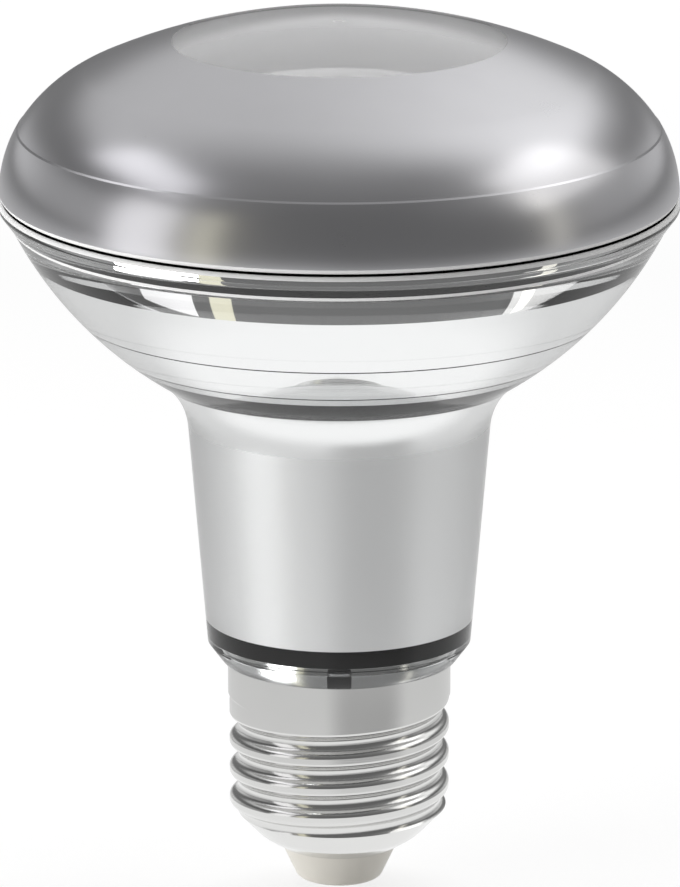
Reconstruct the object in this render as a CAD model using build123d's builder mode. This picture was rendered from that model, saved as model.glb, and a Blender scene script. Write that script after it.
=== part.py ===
from build123d import *
import os
from math import acos, asin, cos, radians, sin, sqrt, tan

# Reflector lamp with an E27 screw cap, in millimetres.
# The axis is Z, the front faces up, and heights run from the tip of the centre contact.

# Fits between pieces
fit = 0.2                       # gap beside a piece that slides into another
seat = 0.05                     # gap under a piece that rests on another
seam = 0.25                     # open line between the lens and the glass rim

# Centre contact and insulator
contact_drop = 1.2              # how far the button stands below the insulator
contact_radius = 3.0
stem_radius = 1.2
stem_height = 0.5               # above the insulator
insulator_end_radius = 4.95
insulator_edge = 0.6            # rounding of the lower edge
insulator_cone_height = 4.2     # the part that shows under the shell
insulator_depth = 5.2           # the part inside the shell

# Screw shell, E27
shell_height = 22.9             # from the mouth in the floor to the upper edge
shell_wall = 0.5
collar_radius = 13.22
collar_height = 4.2             # plain collar above the thread's run-out
collar_edge = 0.2               # rounding of the upper edge
collar_bore_depth = 3.3         # the bore is wider in the collar
crest_drop = 0.16               # crests lie this far inside the collar
mouth_radius = 7.1
bend_radius = 9.6               # where the floor turns steeper
bend_rounding = 4.0
floor_slope = 32.0              # degrees, from the mouth to the bend
shoulder_slope = 46.0           # degrees, from the bend to the thread
thread_pitch = 3.629
thread_round = 1.025            # radius of both crests and roots
thread_flat = 0.63              # flat left on the crests
thread_turns = 4                # whole turns of the groove, which starts below the shoulder
thread_start = 2.13             # height of the groove's start above the mouth
thread_fade = 33.0              # degrees, slope of the run-out that rises out of the shell

# Glass body
glass_wall = 1.8
foot_chamfer = 1.5              # across the end of the neck
foot_chamfer_height = 2.3
foot_lip_height = 1.7           # upright bore that centres the carrier
neck_foot_radius = 15.42
neck_taper = 4.84               # degrees to each side
flare_curve = 8.5
bowl_curve = 46.6
bowl_root_radius = 21.9
bowl_root_height = 35.0         # above the foot
bowl_depth = 18.4
bowl_edge_radius = 38.5
rim_overhang = 1.5              # bead outside the bowl's edge
rim_height = 2.9                # bead above the bowl
rim_bead = 0.9                  # upright part of the bead
rim_rounding = 0.3
rim_seat_inset = 1.4            # bore for the lens, inside the bowl's edge
upright_height = 3.3            # upright stretch of the inner wall under the lens seat
key_count = 4
key_width = 2.4
key_depth = 0.45

# Front lens
lens_wall = 2.0
lens_edge_inset = 0.15          # edge of the lens inside the bead
skirt_wall = 1.0
skirt_depth = 2.6
skirt_shelf = 0.7               # thickness of the shelf above the skirt
band_curve = 15.2
ridge_inset = 2.1               # ridge line inside the lens edge
ridge_ledge = 0.2
shoulder_curve = 18.0
shoulder_angle = 56.7           # degrees, steepness of the shoulder at the ridge
crown_curve = 72.0
gate_radius = 1.1               # moulding mark under the crown
gate_height = 0.35

# Rim seal
seal_width = 1.1
seal_depth = 0.7

# Reflector
reflector_wall = 0.5

# Heat sink
sink_wall = 1.0
sink_low_height = 4.85          # lower edge above the foot
sink_top_height = 35.1
sink_plate = 1.6
sink_plate_drop = 3.0           # top of the plate below the sleeve's upper edge

# Light source
led_board_radius = 11.2
led_board_thickness = 1.2
led_size = 2.8
led_thickness = 0.7
led_outer_ring = 6.2            # radius of the outer ring of packages
led_outer_count = 8
led_inner_ring = 2.4
led_inner_count = 3
retainer_band = 3.0             # band that shows between the sleeve and the reflector
retainer_lip = 1.0              # reach over the board's edge
retainer_lip_thickness = 0.7
retainer_rim = 0.9
screw_count = 3
screw_radius = 1.0
screw_length = 3.0
screw_head_radius = 1.5
screw_head_height = 1.0

# Foot gasket and base carrier
gasket_height = 1.4
carrier_wall = 1.2
spigot_depth = 14.0             # below the foot
sleeve_height = 25.5            # above the foot
slot_count = 4
slot_width = 1.7
slot_depth = 1.0
clip_width = 1.8                # tongue between two narrow slots
clip_gap = 0.5
rail_height = 9.0               # rails that hold the driver board
rail_depth = 1.6
rail_wall = 1.0

# Driver
board_width = 18.0
board_thickness = 1.2
board_height = 34.5
board_depth = 12.0              # lower edge below the foot
lead_radius = 0.4
lead_bend = 1.2
lead_overlap = 3.0              # length of lead against the board
led_lead_spacing = 14.0
capacitor_radius = 4.0
capacitor_length = 14.0
capacitor_offset = -3.2
capacitor_height = 17.5         # lower end above the board's lower edge
transformer_width = 9.0
transformer_depth = 7.5
transformer_length = 10.0
transformer_height = 4.5
film_width = 6.0
film_depth = 4.0
film_length = 7.0
film_offset = 5.4
film_height = 17.5
fuse_radius = 1.3
fuse_length = 7.0
fuse_offset = -6.3
fuse_height = 7.5
rectifier_width = 5.0
rectifier_depth = 1.7
rectifier_length = 4.2
rectifier_height = 7.5
chip_width = 4.9
chip_depth = 1.6
chip_length = 3.9
chip_height = 19.5

# Heights of the seats, from the cap up
mouth_z = contact_drop + insulator_cone_height
insulator_top_z = mouth_z + insulator_depth
shell_top_z = mouth_z + shell_height
collar_z = shell_top_z - collar_height
collar_bore_z = shell_top_z - collar_bore_depth
foot_z = shell_top_z + fit
foot_lip_z = foot_z + foot_lip_height
sink_low_z = foot_z + sink_low_height
flange_z = sink_low_z - gasket_height - 2 * seat
sink_top_z = foot_z + sink_top_height
plate_z = sink_top_z - sink_plate_drop
plate_low_z = plate_z - sink_plate
led_board_z = plate_z + seat + led_board_thickness
reflector_low_z = sink_top_z + retainer_band
bowl_root_z = foot_z + bowl_root_height
bowl_edge_z = bowl_root_z + bowl_depth
rim_z = bowl_edge_z + rim_height
lens_z = rim_z + seam
skirt_z = lens_z - skirt_depth
brim_z = skirt_z - seat - reflector_wall
ledge_z = brim_z - seat
upright_z = ledge_z - upright_height

# Thread form: crest and root arcs meet halfway, tangent to each other
crest_radius = collar_radius - crest_drop
crest_centre = crest_radius - sqrt(thread_round**2 - (thread_flat / 2) ** 2)
root_centre = crest_centre + sqrt((2 * thread_round) ** 2 - (thread_pitch / 2) ** 2)
root_radius = root_centre - thread_round

# Radii that several pieces share
shell_bore = root_radius - shell_wall
collar_bore = collar_radius - shell_wall
spigot_radius = shell_bore - fit
carrier_radius = collar_bore - fit
foot_bore = carrier_radius + fit
sleeve_radius = carrier_radius - fit
rim_radius = bowl_edge_radius + rim_overhang
rim_seat_radius = bowl_edge_radius - rim_seat_inset
skirt_radius = rim_seat_radius - fit
lens_edge_radius = rim_radius - lens_edge_inset
inner_inset = glass_wall + fit

# Glass outline: a tapered neck, a flare tangent to it, and the bowl's arc through the root and the edge
chord = Vector(bowl_edge_radius, bowl_edge_z) - Vector(bowl_root_radius, bowl_root_z)
across = Vector(-chord.Y, chord.X).normalized()
bowl_middle = Vector(bowl_root_radius, bowl_root_z) + chord / 2
bowl_centre = bowl_middle + across * sqrt(bowl_curve**2 - chord.length**2 / 4)
neck_along = Vector(sin(radians(neck_taper)), cos(radians(neck_taper)))
neck_out = Vector(neck_along.Y, -neck_along.X)
flare_line = Vector(neck_foot_radius, foot_z) + neck_out * flare_curve
to_line = flare_line - bowl_centre
to_foot = to_line.dot(neck_along)
reach = (bowl_curve + flare_curve) ** 2 - to_line.length**2 + to_foot**2
flare_centre = flare_line - neck_along * (to_foot + sqrt(reach))
flare_out = (flare_centre - bowl_centre).normalized()


def outline_radius(height, inset):
    """Radius of the glass outline at a height, drawn in by an inset."""
    flare_low = (flare_centre - neck_out * (flare_curve + inset)).Y
    flare_high = (bowl_centre + flare_out * (bowl_curve - inset)).Y
    if height < flare_low:
        rise = height - foot_z
        return neck_foot_radius + rise * tan(radians(neck_taper)) - inset / cos(radians(neck_taper))
    if height < flare_high:
        return flare_centre.X - sqrt((flare_curve + inset) ** 2 - (height - flare_centre.Y) ** 2)
    return bowl_centre.X + sqrt((bowl_curve - inset) ** 2 - (height - bowl_centre.Y) ** 2)


def inside_outline(inset, low, high):
    """Half section of all that lies inside the drawn-in outline between two heights."""
    flare_low = (flare_centre - neck_out * (flare_curve + inset)).Y
    flare_high = (bowl_centre + flare_out * (bowl_curve - inset)).Y
    bounds = sorted({min(max(z, low), high) for z in (low, flare_low, flare_high, high)})
    with BuildSketch() as section:
        with BuildLine():
            low_point = (outline_radius(low, inset), low)
            high_point = (outline_radius(high, inset), high)
            Polyline(low_point, (0, low), (0, high), high_point)
            for start, end in zip(bounds, bounds[1:]):
                points = [(outline_radius(z, inset), z) for z in (start, (start + end) / 2, end)]
                if end <= flare_low:
                    Line(points[0], points[2])
                else:
                    ThreePointArc(*points)
        make_face()
    return section.sketch


def floor_points(depth, inner, outer):
    """Three points along the shell's floor, raised by a depth square to it, from one radius to another."""
    bend_z = mouth_z + (bend_radius - mouth_radius) * tan(radians(floor_slope))
    low_rise = depth / cos(radians(floor_slope))
    high_rise = depth / cos(radians(shoulder_slope))
    slopes = tan(radians(shoulder_slope)) - tan(radians(floor_slope))
    corner = bend_radius + (low_rise - high_rise) / slopes
    low_z = bend_z + low_rise
    return (
        (inner, low_z + (inner - bend_radius) * tan(radians(floor_slope))),
        (corner, low_z + (corner - bend_radius) * tan(radians(floor_slope))),
        (outer, bend_z + high_rise + (outer - bend_radius) * tan(radians(shoulder_slope))),
    )


def groove_section():
    """Section of the thread's groove at height zero, from the root out past the crests."""
    half_mouth = (thread_pitch - thread_flat) / 2
    meet = (crest_centre + root_centre) / 2
    outside = collar_radius + thread_round / 2
    with BuildSketch() as section:
        with BuildLine():
            low_root = TangentArc((root_radius, 0), (meet, -thread_pitch / 4), tangent=(0, -1))
            low_crest = TangentArc(low_root @ 1, (crest_radius, -half_mouth), tangent=low_root % 1)
            high_root = TangentArc((root_radius, 0), (meet, thread_pitch / 4), tangent=(0, 1))
            high_crest = TangentArc(high_root @ 1, (crest_radius, half_mouth), tangent=high_root % 1)
            Polyline(low_crest @ 1, (outside, -half_mouth), (outside, half_mouth), high_crest @ 1)
        make_face()
    return section.sketch


# Centre contact: a domed button on a stem
with BuildPart() as centre_contact:
    with BuildSketch(Plane.XZ):
        with BuildLine():
            dome = TangentArc((0, 0), (contact_radius, contact_drop - seat), tangent=(1, 0))
            Polyline(
                dome @ 1,
                (stem_radius, contact_drop - seat),
                (stem_radius, insulator_top_z + stem_height),
                (0, insulator_top_z + stem_height),
                (0, 0),
            )
        make_face()
    revolve(axis=Axis.Z)

# Insulator: a cone under the shell and a plate that seats on the shell's floor
with BuildPart() as cap_insulator:
    with BuildSketch(Plane.XZ):
        with BuildLine():
            Polyline(
                (stem_radius + fit, contact_drop),
                (insulator_end_radius, contact_drop),
                (mouth_radius - fit, mouth_z),
                *floor_points(shell_wall + seat, mouth_radius - fit, shell_bore - fit),
                (shell_bore - fit, insulator_top_z),
                (stem_radius + fit, insulator_top_z),
                close=True,
            )
        insulator_face = make_face()
        fillet(insulator_face.vertices().group_by(Axis.Y)[0].sort_by(Axis.X)[-1], insulator_edge)
    revolve(axis=Axis.Z)

# Rolled groove of the thread: one half turn, and the run-out that rises out of the shell
with BuildPart() as groove_half_turn:
    with BuildSketch(Plane.XZ):
        add(groove_section())
    with BuildLine() as half_turn_path:
        Helix(thread_pitch, thread_pitch / 2, root_centre)
    sweep(path=half_turn_path.line, is_frenet=True)

with BuildPart() as groove_fade:
    with BuildSketch(Plane.XZ):
        add(groove_section())
    with BuildLine() as fade_path:
        Helix(thread_pitch, thread_pitch / 2, root_centre, cone_angle=thread_fade)
    sweep(path=fade_path.line, is_frenet=True)

# Screw shell: a turned blank with the rolled groove taken out of it
with BuildPart() as screw_shell:
    with BuildSketch(Plane.XZ):
        outer = floor_points(0, mouth_radius, crest_radius)
        inner = floor_points(shell_wall, mouth_radius, shell_bore)
        with BuildLine():
            Polyline(
                *outer,
                (crest_radius, collar_z),
                (collar_radius, collar_z),
                (collar_radius, shell_top_z),
                (collar_bore, shell_top_z),
                (collar_bore, collar_bore_z),
                (shell_bore, collar_bore_z - collar_bore + shell_bore),
                *reversed(inner),
                close=True,
            )
        blank = make_face()
        fillet(blank.vertices().sort_by_distance(outer[1])[0], bend_rounding)
        fillet(blank.vertices().sort_by_distance((collar_radius, shell_top_z))[0], collar_edge)
    revolve(axis=Axis.Z)
    for half_turn in range(2 * thread_turns):
        half_turn_z = mouth_z + thread_start + half_turn * thread_pitch / 2
        half_turn_place = Location((0, 0, half_turn_z), (0, 0, 180 * half_turn))
        add(groove_half_turn.part.moved(half_turn_place), mode=Mode.SUBTRACT)
    fade_z = mouth_z + thread_start + thread_turns * thread_pitch
    add(groove_fade.part.moved(Location((0, 0, fade_z))), mode=Mode.SUBTRACT)

# Glass body: rim, bowl, flare, neck and chamfered foot in one moulding
with BuildPart() as glass_body:
    with BuildSketch(Plane.XZ) as glass_section:
        foot_high_z = foot_z + foot_chamfer_height
        add(inside_outline(0, foot_high_z, bowl_edge_z))
        with BuildLine():
            Polyline(
                (0, foot_z),
                (neck_foot_radius - foot_chamfer, foot_z),
                (outline_radius(foot_high_z, 0), foot_high_z),
                (0, foot_high_z),
                close=True,
            )
        make_face()
        with BuildLine():
            Polyline(
                (0, bowl_edge_z),
                (bowl_edge_radius, bowl_edge_z),
                (rim_radius, rim_z - rim_bead),
                (rim_radius, rim_z),
                (0, rim_z),
                close=True,
            )
        make_face()
        lip_width = outline_radius(foot_lip_z, glass_wall) - foot_bore
        cone_z = foot_lip_z + lip_width
        add(inside_outline(glass_wall, cone_z, upright_z), mode=Mode.SUBTRACT)
        with BuildLine():
            upright_radius = outline_radius(upright_z, glass_wall)
            Polyline(
                (0, upright_z),
                (upright_radius, upright_z),
                (upright_radius, ledge_z),
                (0, ledge_z),
                close=True,
            )
        make_face(mode=Mode.SUBTRACT)
        with BuildLine():
            Polyline(
                (0, foot_z),
                (foot_bore, foot_z),
                (foot_bore, foot_lip_z),
                (outline_radius(cone_z, glass_wall), cone_z),
                (0, cone_z),
                close=True,
            )
        make_face(mode=Mode.SUBTRACT)
        with BuildLine():
            Polyline(
                (0, ledge_z),
                (rim_seat_radius, ledge_z),
                (rim_seat_radius, rim_z - seal_depth),
                (rim_seat_radius + seal_width, rim_z - seal_depth),
                (rim_seat_radius + seal_width, rim_z),
                (0, rim_z),
                close=True,
            )
        make_face(mode=Mode.SUBTRACT)
        fillet(glass_section.vertices().sort_by_distance((rim_radius, rim_z - rim_bead))[0], rim_bead / 2)
        fillet(glass_section.vertices().sort_by_distance((rim_radius, rim_z))[0], rim_rounding)
    revolve(axis=Axis.Z)
    with BuildSketch(Plane.XY.offset(foot_z)):
        with PolarLocations(foot_bore, key_count):
            Rectangle(2 * key_depth, key_width)
    extrude(amount=foot_lip_height, mode=Mode.SUBTRACT)

# Front lens: crown, shoulder and side band over a skirt that drops into the rim
band_centre = Vector(lens_edge_radius - band_curve, lens_z)
ridge_angle = acos((band_curve - ridge_inset) / band_curve)
ridge = band_centre + Vector(cos(ridge_angle), sin(ridge_angle)) * band_curve
shoulder_out = Vector(sin(radians(shoulder_angle)), cos(radians(shoulder_angle)))
shoulder_end = ridge + Vector(-ridge_ledge, ridge_ledge)
shoulder_centre = shoulder_end - shoulder_out * shoulder_curve
crown_angle = asin(shoulder_centre.X / (crown_curve - shoulder_curve))
crown_out = Vector(sin(crown_angle), cos(crown_angle))
crown_centre = shoulder_centre - crown_out * (crown_curve - shoulder_curve)
with BuildPart() as front_lens:
    with BuildSketch(Plane.XZ):
        with BuildLine():
            crown = TangentArc(
                crown_centre + Vector(0, crown_curve), crown_centre + crown_out * crown_curve, tangent=(1, 0)
            )
            TangentArc(crown @ 1, shoulder_end, tangent=crown % 1)
            Line(shoulder_end, ridge)
            band = TangentArc((lens_edge_radius, lens_z), ridge, tangent=(0, 1))
            under_band = TangentArc(
                (lens_edge_radius - lens_wall, lens_z),
                band_centre + (ridge - band_centre).normalized() * (band_curve - lens_wall),
                tangent=(0, 1),
            )
            under_crown = TangentArc(
                crown_centre + Vector(0, crown_curve - lens_wall),
                crown_centre + crown_out * (crown_curve - lens_wall),
                tangent=(1, 0),
            )
            under_shoulder = TangentArc(
                under_crown @ 1,
                shoulder_centre + shoulder_out * (shoulder_curve - lens_wall),
                tangent=crown % 1,
            )
            Line(under_shoulder @ 1, under_band @ 1)
            Line(under_band @ 0, band @ 0)
            Line(crown @ 0, under_crown @ 0)
        make_face()
        with BuildLine():
            Polyline(
                (skirt_radius - skirt_wall, skirt_z),
                (skirt_radius, skirt_z),
                (skirt_radius, lens_z),
                (lens_edge_radius - lens_wall / 2, lens_z),
                (lens_edge_radius - lens_wall / 2, lens_z + skirt_shelf),
                (skirt_radius - skirt_wall, lens_z + skirt_shelf),
                close=True,
            )
        make_face()
        under_apex_z = crown_centre.Y + crown_curve - lens_wall
        with BuildLine():
            Polyline(
                (0, under_apex_z + lens_wall / 2),
                (0, under_apex_z - gate_height),
                (gate_radius / 2, under_apex_z - gate_height),
                (gate_radius, under_apex_z + lens_wall / 2),
                close=True,
            )
        make_face()
    revolve(axis=Axis.Z)

# Rim seal: a bead in the rebate between the rim and the lens
with BuildPart() as rim_seal:
    with BuildSketch(Plane.XZ):
        with BuildLine():
            Polyline(
                (skirt_radius + fit, rim_z - seal_depth + seat),
                (rim_seat_radius + seal_width - seat, rim_z - seal_depth + seat),
                (rim_seat_radius + seal_width - seat, lens_z - seat),
                (skirt_radius + fit, lens_z - seat),
                close=True,
            )
        make_face()
    revolve(axis=Axis.Z)

# Reflector: a spun cup whose collar ends in a brim, held between the rim's ledge and the lens
with BuildPart() as reflector:
    cup_radius = outline_radius(upright_z, inner_inset)
    cup_bore = outline_radius(upright_z, inner_inset + reflector_wall)
    with BuildSketch(Plane.XZ):
        add(inside_outline(inner_inset, reflector_low_z, upright_z))
        add(inside_outline(inner_inset + reflector_wall, reflector_low_z, upright_z), mode=Mode.SUBTRACT)
        with BuildLine():
            Polyline(
                (cup_bore, upright_z),
                (cup_radius, upright_z),
                (cup_radius, brim_z),
                (rim_seat_radius - fit, brim_z),
                (rim_seat_radius - fit, brim_z + reflector_wall),
                (cup_bore, brim_z + reflector_wall),
                close=True,
            )
        make_face()
    revolve(axis=Axis.Z)

# Heat sink: a tapered sleeve that wedges in the neck, closed by the plate under the light source
screw_circle = (led_board_radius + outline_radius(plate_z, inner_inset + sink_wall)) / 2
lead_offset = board_thickness / 2 + seat + lead_radius
led_lead_places = ((-led_lead_spacing / 2, lead_offset), (led_lead_spacing / 2, lead_offset))
with BuildPart() as heat_sink:
    with BuildSketch(Plane.XZ):
        add(inside_outline(inner_inset, sink_low_z, sink_top_z))
        add(inside_outline(inner_inset + sink_wall, sink_low_z, sink_top_z), mode=Mode.SUBTRACT)
        add(inside_outline(inner_inset + sink_wall / 2, plate_low_z, plate_z))
    revolve(axis=Axis.Z)
    with BuildSketch(Plane.XY.offset(plate_low_z)):
        with PolarLocations(screw_circle, screw_count, start_angle=90):
            Circle(screw_radius + seat)
        with Locations(*led_lead_places):
            Circle(2 * lead_radius)
    extrude(amount=sink_plate, mode=Mode.SUBTRACT)

# Light source: a round board with the packages on it
with BuildPart() as led_board:
    with BuildSketch(Plane.XY.offset(plate_z + seat)):
        Circle(led_board_radius)
        with Locations(*led_lead_places):
            Circle(2 * lead_radius, mode=Mode.SUBTRACT)
    extrude(amount=led_board_thickness)

with BuildPart() as led_packages:
    with BuildSketch(Plane.XY.offset(led_board_z + seat)):
        with PolarLocations(led_outer_ring, led_outer_count, start_angle=180 / led_outer_count):
            Rectangle(led_size, led_size)
        with PolarLocations(led_inner_ring, led_inner_count, start_angle=90):
            Rectangle(led_size, led_size)
    extrude(amount=led_thickness)

# Retainer: a ring that clamps the board to the heat sink and carries the reflector's lower edge
retainer_low_z = sink_top_z + seat
retainer_high_z = reflector_low_z - seat
lip_z = led_board_z + seat
head_z = lip_z + retainer_lip_thickness
with BuildPart() as led_retainer:
    with BuildSketch(Plane.XZ):
        add(inside_outline(inner_inset, retainer_low_z, retainer_high_z))
        foot_out = outline_radius(plate_z, inner_inset + sink_wall) - fit
        with BuildLine():
            Polyline(
                (0, plate_z + seat),
                (foot_out, plate_z + seat),
                (foot_out, retainer_low_z),
                (0, retainer_low_z),
                close=True,
            )
        make_face()
        with BuildLine():
            Polyline(
                (0, plate_z),
                (led_board_radius + fit, plate_z),
                (led_board_radius + fit, lip_z),
                (led_board_radius - retainer_lip, lip_z),
                (led_board_radius - retainer_lip, head_z),
                (outline_radius(retainer_high_z, inner_inset) - retainer_rim, retainer_high_z),
                (0, retainer_high_z),
                close=True,
            )
        make_face(mode=Mode.SUBTRACT)
    revolve(axis=Axis.Z)
    with BuildSketch(Plane.XY.offset(head_z)):
        with PolarLocations(screw_circle, screw_count, start_angle=90):
            Circle(screw_head_radius + fit)
    extrude(amount=retainer_high_z - head_z, mode=Mode.SUBTRACT)
    with BuildSketch(Plane.XY.offset(plate_z)):
        with PolarLocations(screw_circle, screw_count, start_angle=90):
            Circle(screw_radius + fit)
    extrude(amount=head_z - plate_z, mode=Mode.SUBTRACT)

with BuildPart() as retainer_screws:
    with BuildSketch(Plane.XY.offset(head_z + seat)):
        with PolarLocations(screw_circle, screw_count, start_angle=90):
            Circle(screw_head_radius)
    extrude(amount=screw_head_height)
    with BuildSketch(Plane.XY.offset(head_z + seat)):
        with PolarLocations(screw_circle, screw_count, start_angle=90):
            Circle(screw_radius)
    extrude(amount=-screw_length)

# Base carrier: a spigot in the shell, a slotted flange on the glass foot and a sleeve round the driver
spigot_z = foot_z - spigot_depth
flange_radius = outline_radius(flange_z, glass_wall) - fit
cone_seat_z = foot_lip_z + fit - seat
with BuildPart() as base_carrier:
    with BuildSketch(Plane.XZ):
        with BuildLine():
            step_z = collar_bore_z + fit
            Polyline(
                (spigot_radius - carrier_wall, spigot_z),
                (spigot_radius, spigot_z),
                (spigot_radius, step_z - carrier_radius + spigot_radius),
                (carrier_radius, step_z),
                (carrier_radius, cone_seat_z),
                (flange_radius, cone_seat_z + flange_radius - carrier_radius),
                (flange_radius, flange_z),
                (sleeve_radius, flange_z),
                (sleeve_radius, foot_z + sleeve_height),
                (sleeve_radius - carrier_wall, foot_z + sleeve_height),
                (sleeve_radius - carrier_wall, step_z),
                (spigot_radius - carrier_wall, step_z - sleeve_radius + spigot_radius),
                close=True,
            )
        make_face()
    revolve(axis=Axis.Z)
    with BuildSketch(Plane.XY.offset(flange_z)):
        with PolarLocations(flange_radius, slot_count):
            Rectangle(2 * (flange_radius - sleeve_radius), slot_width)
        with PolarLocations(flange_radius, slot_count, start_angle=45):
            with GridLocations(0, clip_width + clip_gap, 1, 2):
                Rectangle(2 * (flange_radius - sleeve_radius), clip_gap)
    extrude(amount=-slot_depth, mode=Mode.SUBTRACT)
    with BuildSketch(Plane.XY.offset(foot_z + fit)):
        with PolarLocations(carrier_radius, key_count):
            Rectangle(2 * (key_depth - fit / 2), key_width - fit)
    extrude(amount=foot_lip_height - 2 * fit)
    with BuildSketch(Plane.XY.offset(spigot_z)):
        with GridLocations(board_width, 0, 2, 1):
            Rectangle(2 * (spigot_radius - carrier_wall / 2) - board_width, board_thickness + 2 * rail_wall)
        Rectangle(board_width + 2 * fit, board_thickness + 2 * fit, mode=Mode.SUBTRACT)
        Rectangle(board_width - 2 * rail_depth, board_thickness + 2 * rail_wall, mode=Mode.SUBTRACT)
    extrude(amount=rail_height)

# Foot gasket: a ring between the carrier's flange and the heat sink
with BuildPart() as foot_gasket:
    with BuildSketch(Plane.XY.offset(flange_z + seat)):
        Circle(flange_radius)
        Circle(sleeve_radius + seat, mode=Mode.SUBTRACT)
    extrude(amount=gasket_height)

# Driver: an upright board with its components on both faces
board_z = foot_z - board_depth
front_face = board_thickness / 2 + seat
with BuildPart() as driver_board:
    with BuildSketch(Plane.XY.offset(board_z)):
        Rectangle(board_width, board_thickness)
    extrude(amount=board_height)

with BuildPart() as smoothing_capacitor:
    with BuildSketch(Plane.XY.offset(board_z + capacitor_height)):
        with Locations((capacitor_offset, front_face + capacitor_radius)):
            Circle(capacitor_radius)
    extrude(amount=capacitor_length)

with BuildPart() as transformer:
    with BuildSketch(Plane.XY.offset(board_z + transformer_height)):
        with Locations((0, front_face + transformer_depth / 2)):
            Rectangle(transformer_width, transformer_depth)
    extrude(amount=transformer_length)

with BuildPart() as film_capacitor:
    with BuildSketch(Plane.XY.offset(board_z + film_height)):
        with Locations((film_offset, front_face + film_depth / 2)):
            Rectangle(film_width, film_depth)
    extrude(amount=film_length)

with BuildPart() as fuse_resistor:
    with BuildSketch(Plane.XY.offset(board_z + fuse_height)):
        with Locations((fuse_offset, front_face + fuse_radius)):
            Circle(fuse_radius)
    extrude(amount=fuse_length)

with BuildPart() as rectifier:
    with BuildSketch(Plane.XY.offset(board_z + rectifier_height)):
        with Locations((0, -front_face - rectifier_depth / 2)):
            Rectangle(rectifier_width, rectifier_depth)
    extrude(amount=rectifier_length)

with BuildPart() as control_chip:
    with BuildSketch(Plane.XY.offset(board_z + chip_height)):
        with Locations((0, -front_face - chip_depth / 2)):
            Rectangle(chip_width, chip_depth)
    extrude(amount=chip_length)

# Leads: two up to the light source, one to the contact and one to the shell
board_top_z = board_z + board_height
with BuildPart() as led_leads:
    with BuildSketch(Plane.XY.offset(led_board_z)):
        with Locations(*led_lead_places):
            Circle(lead_radius)
    extrude(amount=board_top_z - lead_overlap - led_board_z)

with BuildPart() as live_lead:
    stem_top_z = insulator_top_z + stem_height + seat
    with BuildLine() as live_path:
        FilletPolyline(
            (0, 0, stem_top_z),
            (0, 0, stem_top_z + (board_z - stem_top_z) / 2),
            (0, lead_offset, board_z),
            (0, lead_offset, board_z + lead_overlap),
            radius=lead_bend,
        )
    with BuildSketch(Plane.XY.offset(stem_top_z)):
        Circle(lead_radius)
    sweep(path=live_path.line)

with BuildPart() as neutral_lead:
    wire_z = (insulator_top_z + spigot_z) / 2
    neutral_x = -board_width / 4
    shell_x = -sqrt((shell_bore - seat) ** 2 - (lead_offset + lead_radius) ** 2)
    with BuildLine() as neutral_path:
        FilletPolyline(
            (neutral_x, -lead_offset, board_z + lead_overlap),
            (neutral_x, -lead_offset, wire_z),
            (shell_x, -lead_offset, wire_z),
            radius=lead_bend,
        )
    with BuildSketch(Plane.XY.offset(board_z + lead_overlap)):
        with Locations((neutral_x, -lead_offset)):
            Circle(lead_radius)
    sweep(path=neutral_path.line)

pieces = {
    "front_lens": front_lens,
    "rim_seal": rim_seal,
    "glass_body": glass_body,
    "reflector": reflector,
    "led_retainer": led_retainer,
    "retainer_screws": retainer_screws,
    "led_board": led_board,
    "led_packages": led_packages,
    "heat_sink": heat_sink,
    "foot_gasket": foot_gasket,
    "base_carrier": base_carrier,
    "driver_board": driver_board,
    "smoothing_capacitor": smoothing_capacitor,
    "film_capacitor": film_capacitor,
    "transformer": transformer,
    "rectifier": rectifier,
    "control_chip": control_chip,
    "fuse_resistor": fuse_resistor,
    "led_leads": led_leads,
    "live_lead": live_lead,
    "neutral_lead": neutral_lead,
    "screw_shell": screw_shell,
    "cap_insulator": cap_insulator,
    "centre_contact": centre_contact,
}
os.makedirs("parts", exist_ok=True)
for name, piece in pieces.items():
    piece.part.label = name
    export_step(piece.part, f"parts/{name}.step")
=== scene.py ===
"""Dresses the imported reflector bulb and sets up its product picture.

The part's frame is used as it is: the bulb's axis is Z, the tip of the contact is at zero and the lens
faces up. Sizes are written in millimetres and become metres when a mesh is finished.
"""
import logging
import math
from abc import ABC, abstractmethod
from dataclasses import dataclass, field
from enum import Enum, IntEnum
from functools import cached_property
from typing import Any, Iterable, Mapping, Union

import bmesh
import bpy
from mathutils import Matrix, Vector


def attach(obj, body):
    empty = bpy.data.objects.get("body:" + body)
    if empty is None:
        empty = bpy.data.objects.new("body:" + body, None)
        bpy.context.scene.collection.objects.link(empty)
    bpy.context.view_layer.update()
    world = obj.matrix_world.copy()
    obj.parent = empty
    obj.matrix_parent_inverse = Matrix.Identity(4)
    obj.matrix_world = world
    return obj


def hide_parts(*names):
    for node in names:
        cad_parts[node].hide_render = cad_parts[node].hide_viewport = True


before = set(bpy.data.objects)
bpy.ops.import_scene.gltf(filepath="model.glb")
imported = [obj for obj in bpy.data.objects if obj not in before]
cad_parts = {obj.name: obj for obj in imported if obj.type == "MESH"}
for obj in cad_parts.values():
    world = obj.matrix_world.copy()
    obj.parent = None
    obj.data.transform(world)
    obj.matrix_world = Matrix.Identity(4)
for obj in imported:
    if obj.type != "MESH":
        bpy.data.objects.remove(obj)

LOG = logging.getLogger("reflector_bulb")
MM = 0.001
BODY = "root"
TURN_STEPS = 240
ARC_STEP = math.radians(1.5)
SHARP_ANGLE = math.radians(32.0)
MERGE = 2e-4
NEAR = 0.01
FINE_EDGE = 0.1
SMALL_EDGE = 0.15
PLAIN_EDGE = 0.2
FULL_EDGE = 0.3
EDGE_STEPS = 4
CORNER_STEPS = 3
DRILL_STEPS = 32
SCREW_STEPS = 24
UP_FACING = 0.9
NOISE_MIDDLE = 0.5
CLOUD_DETAIL = 3.0

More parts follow.
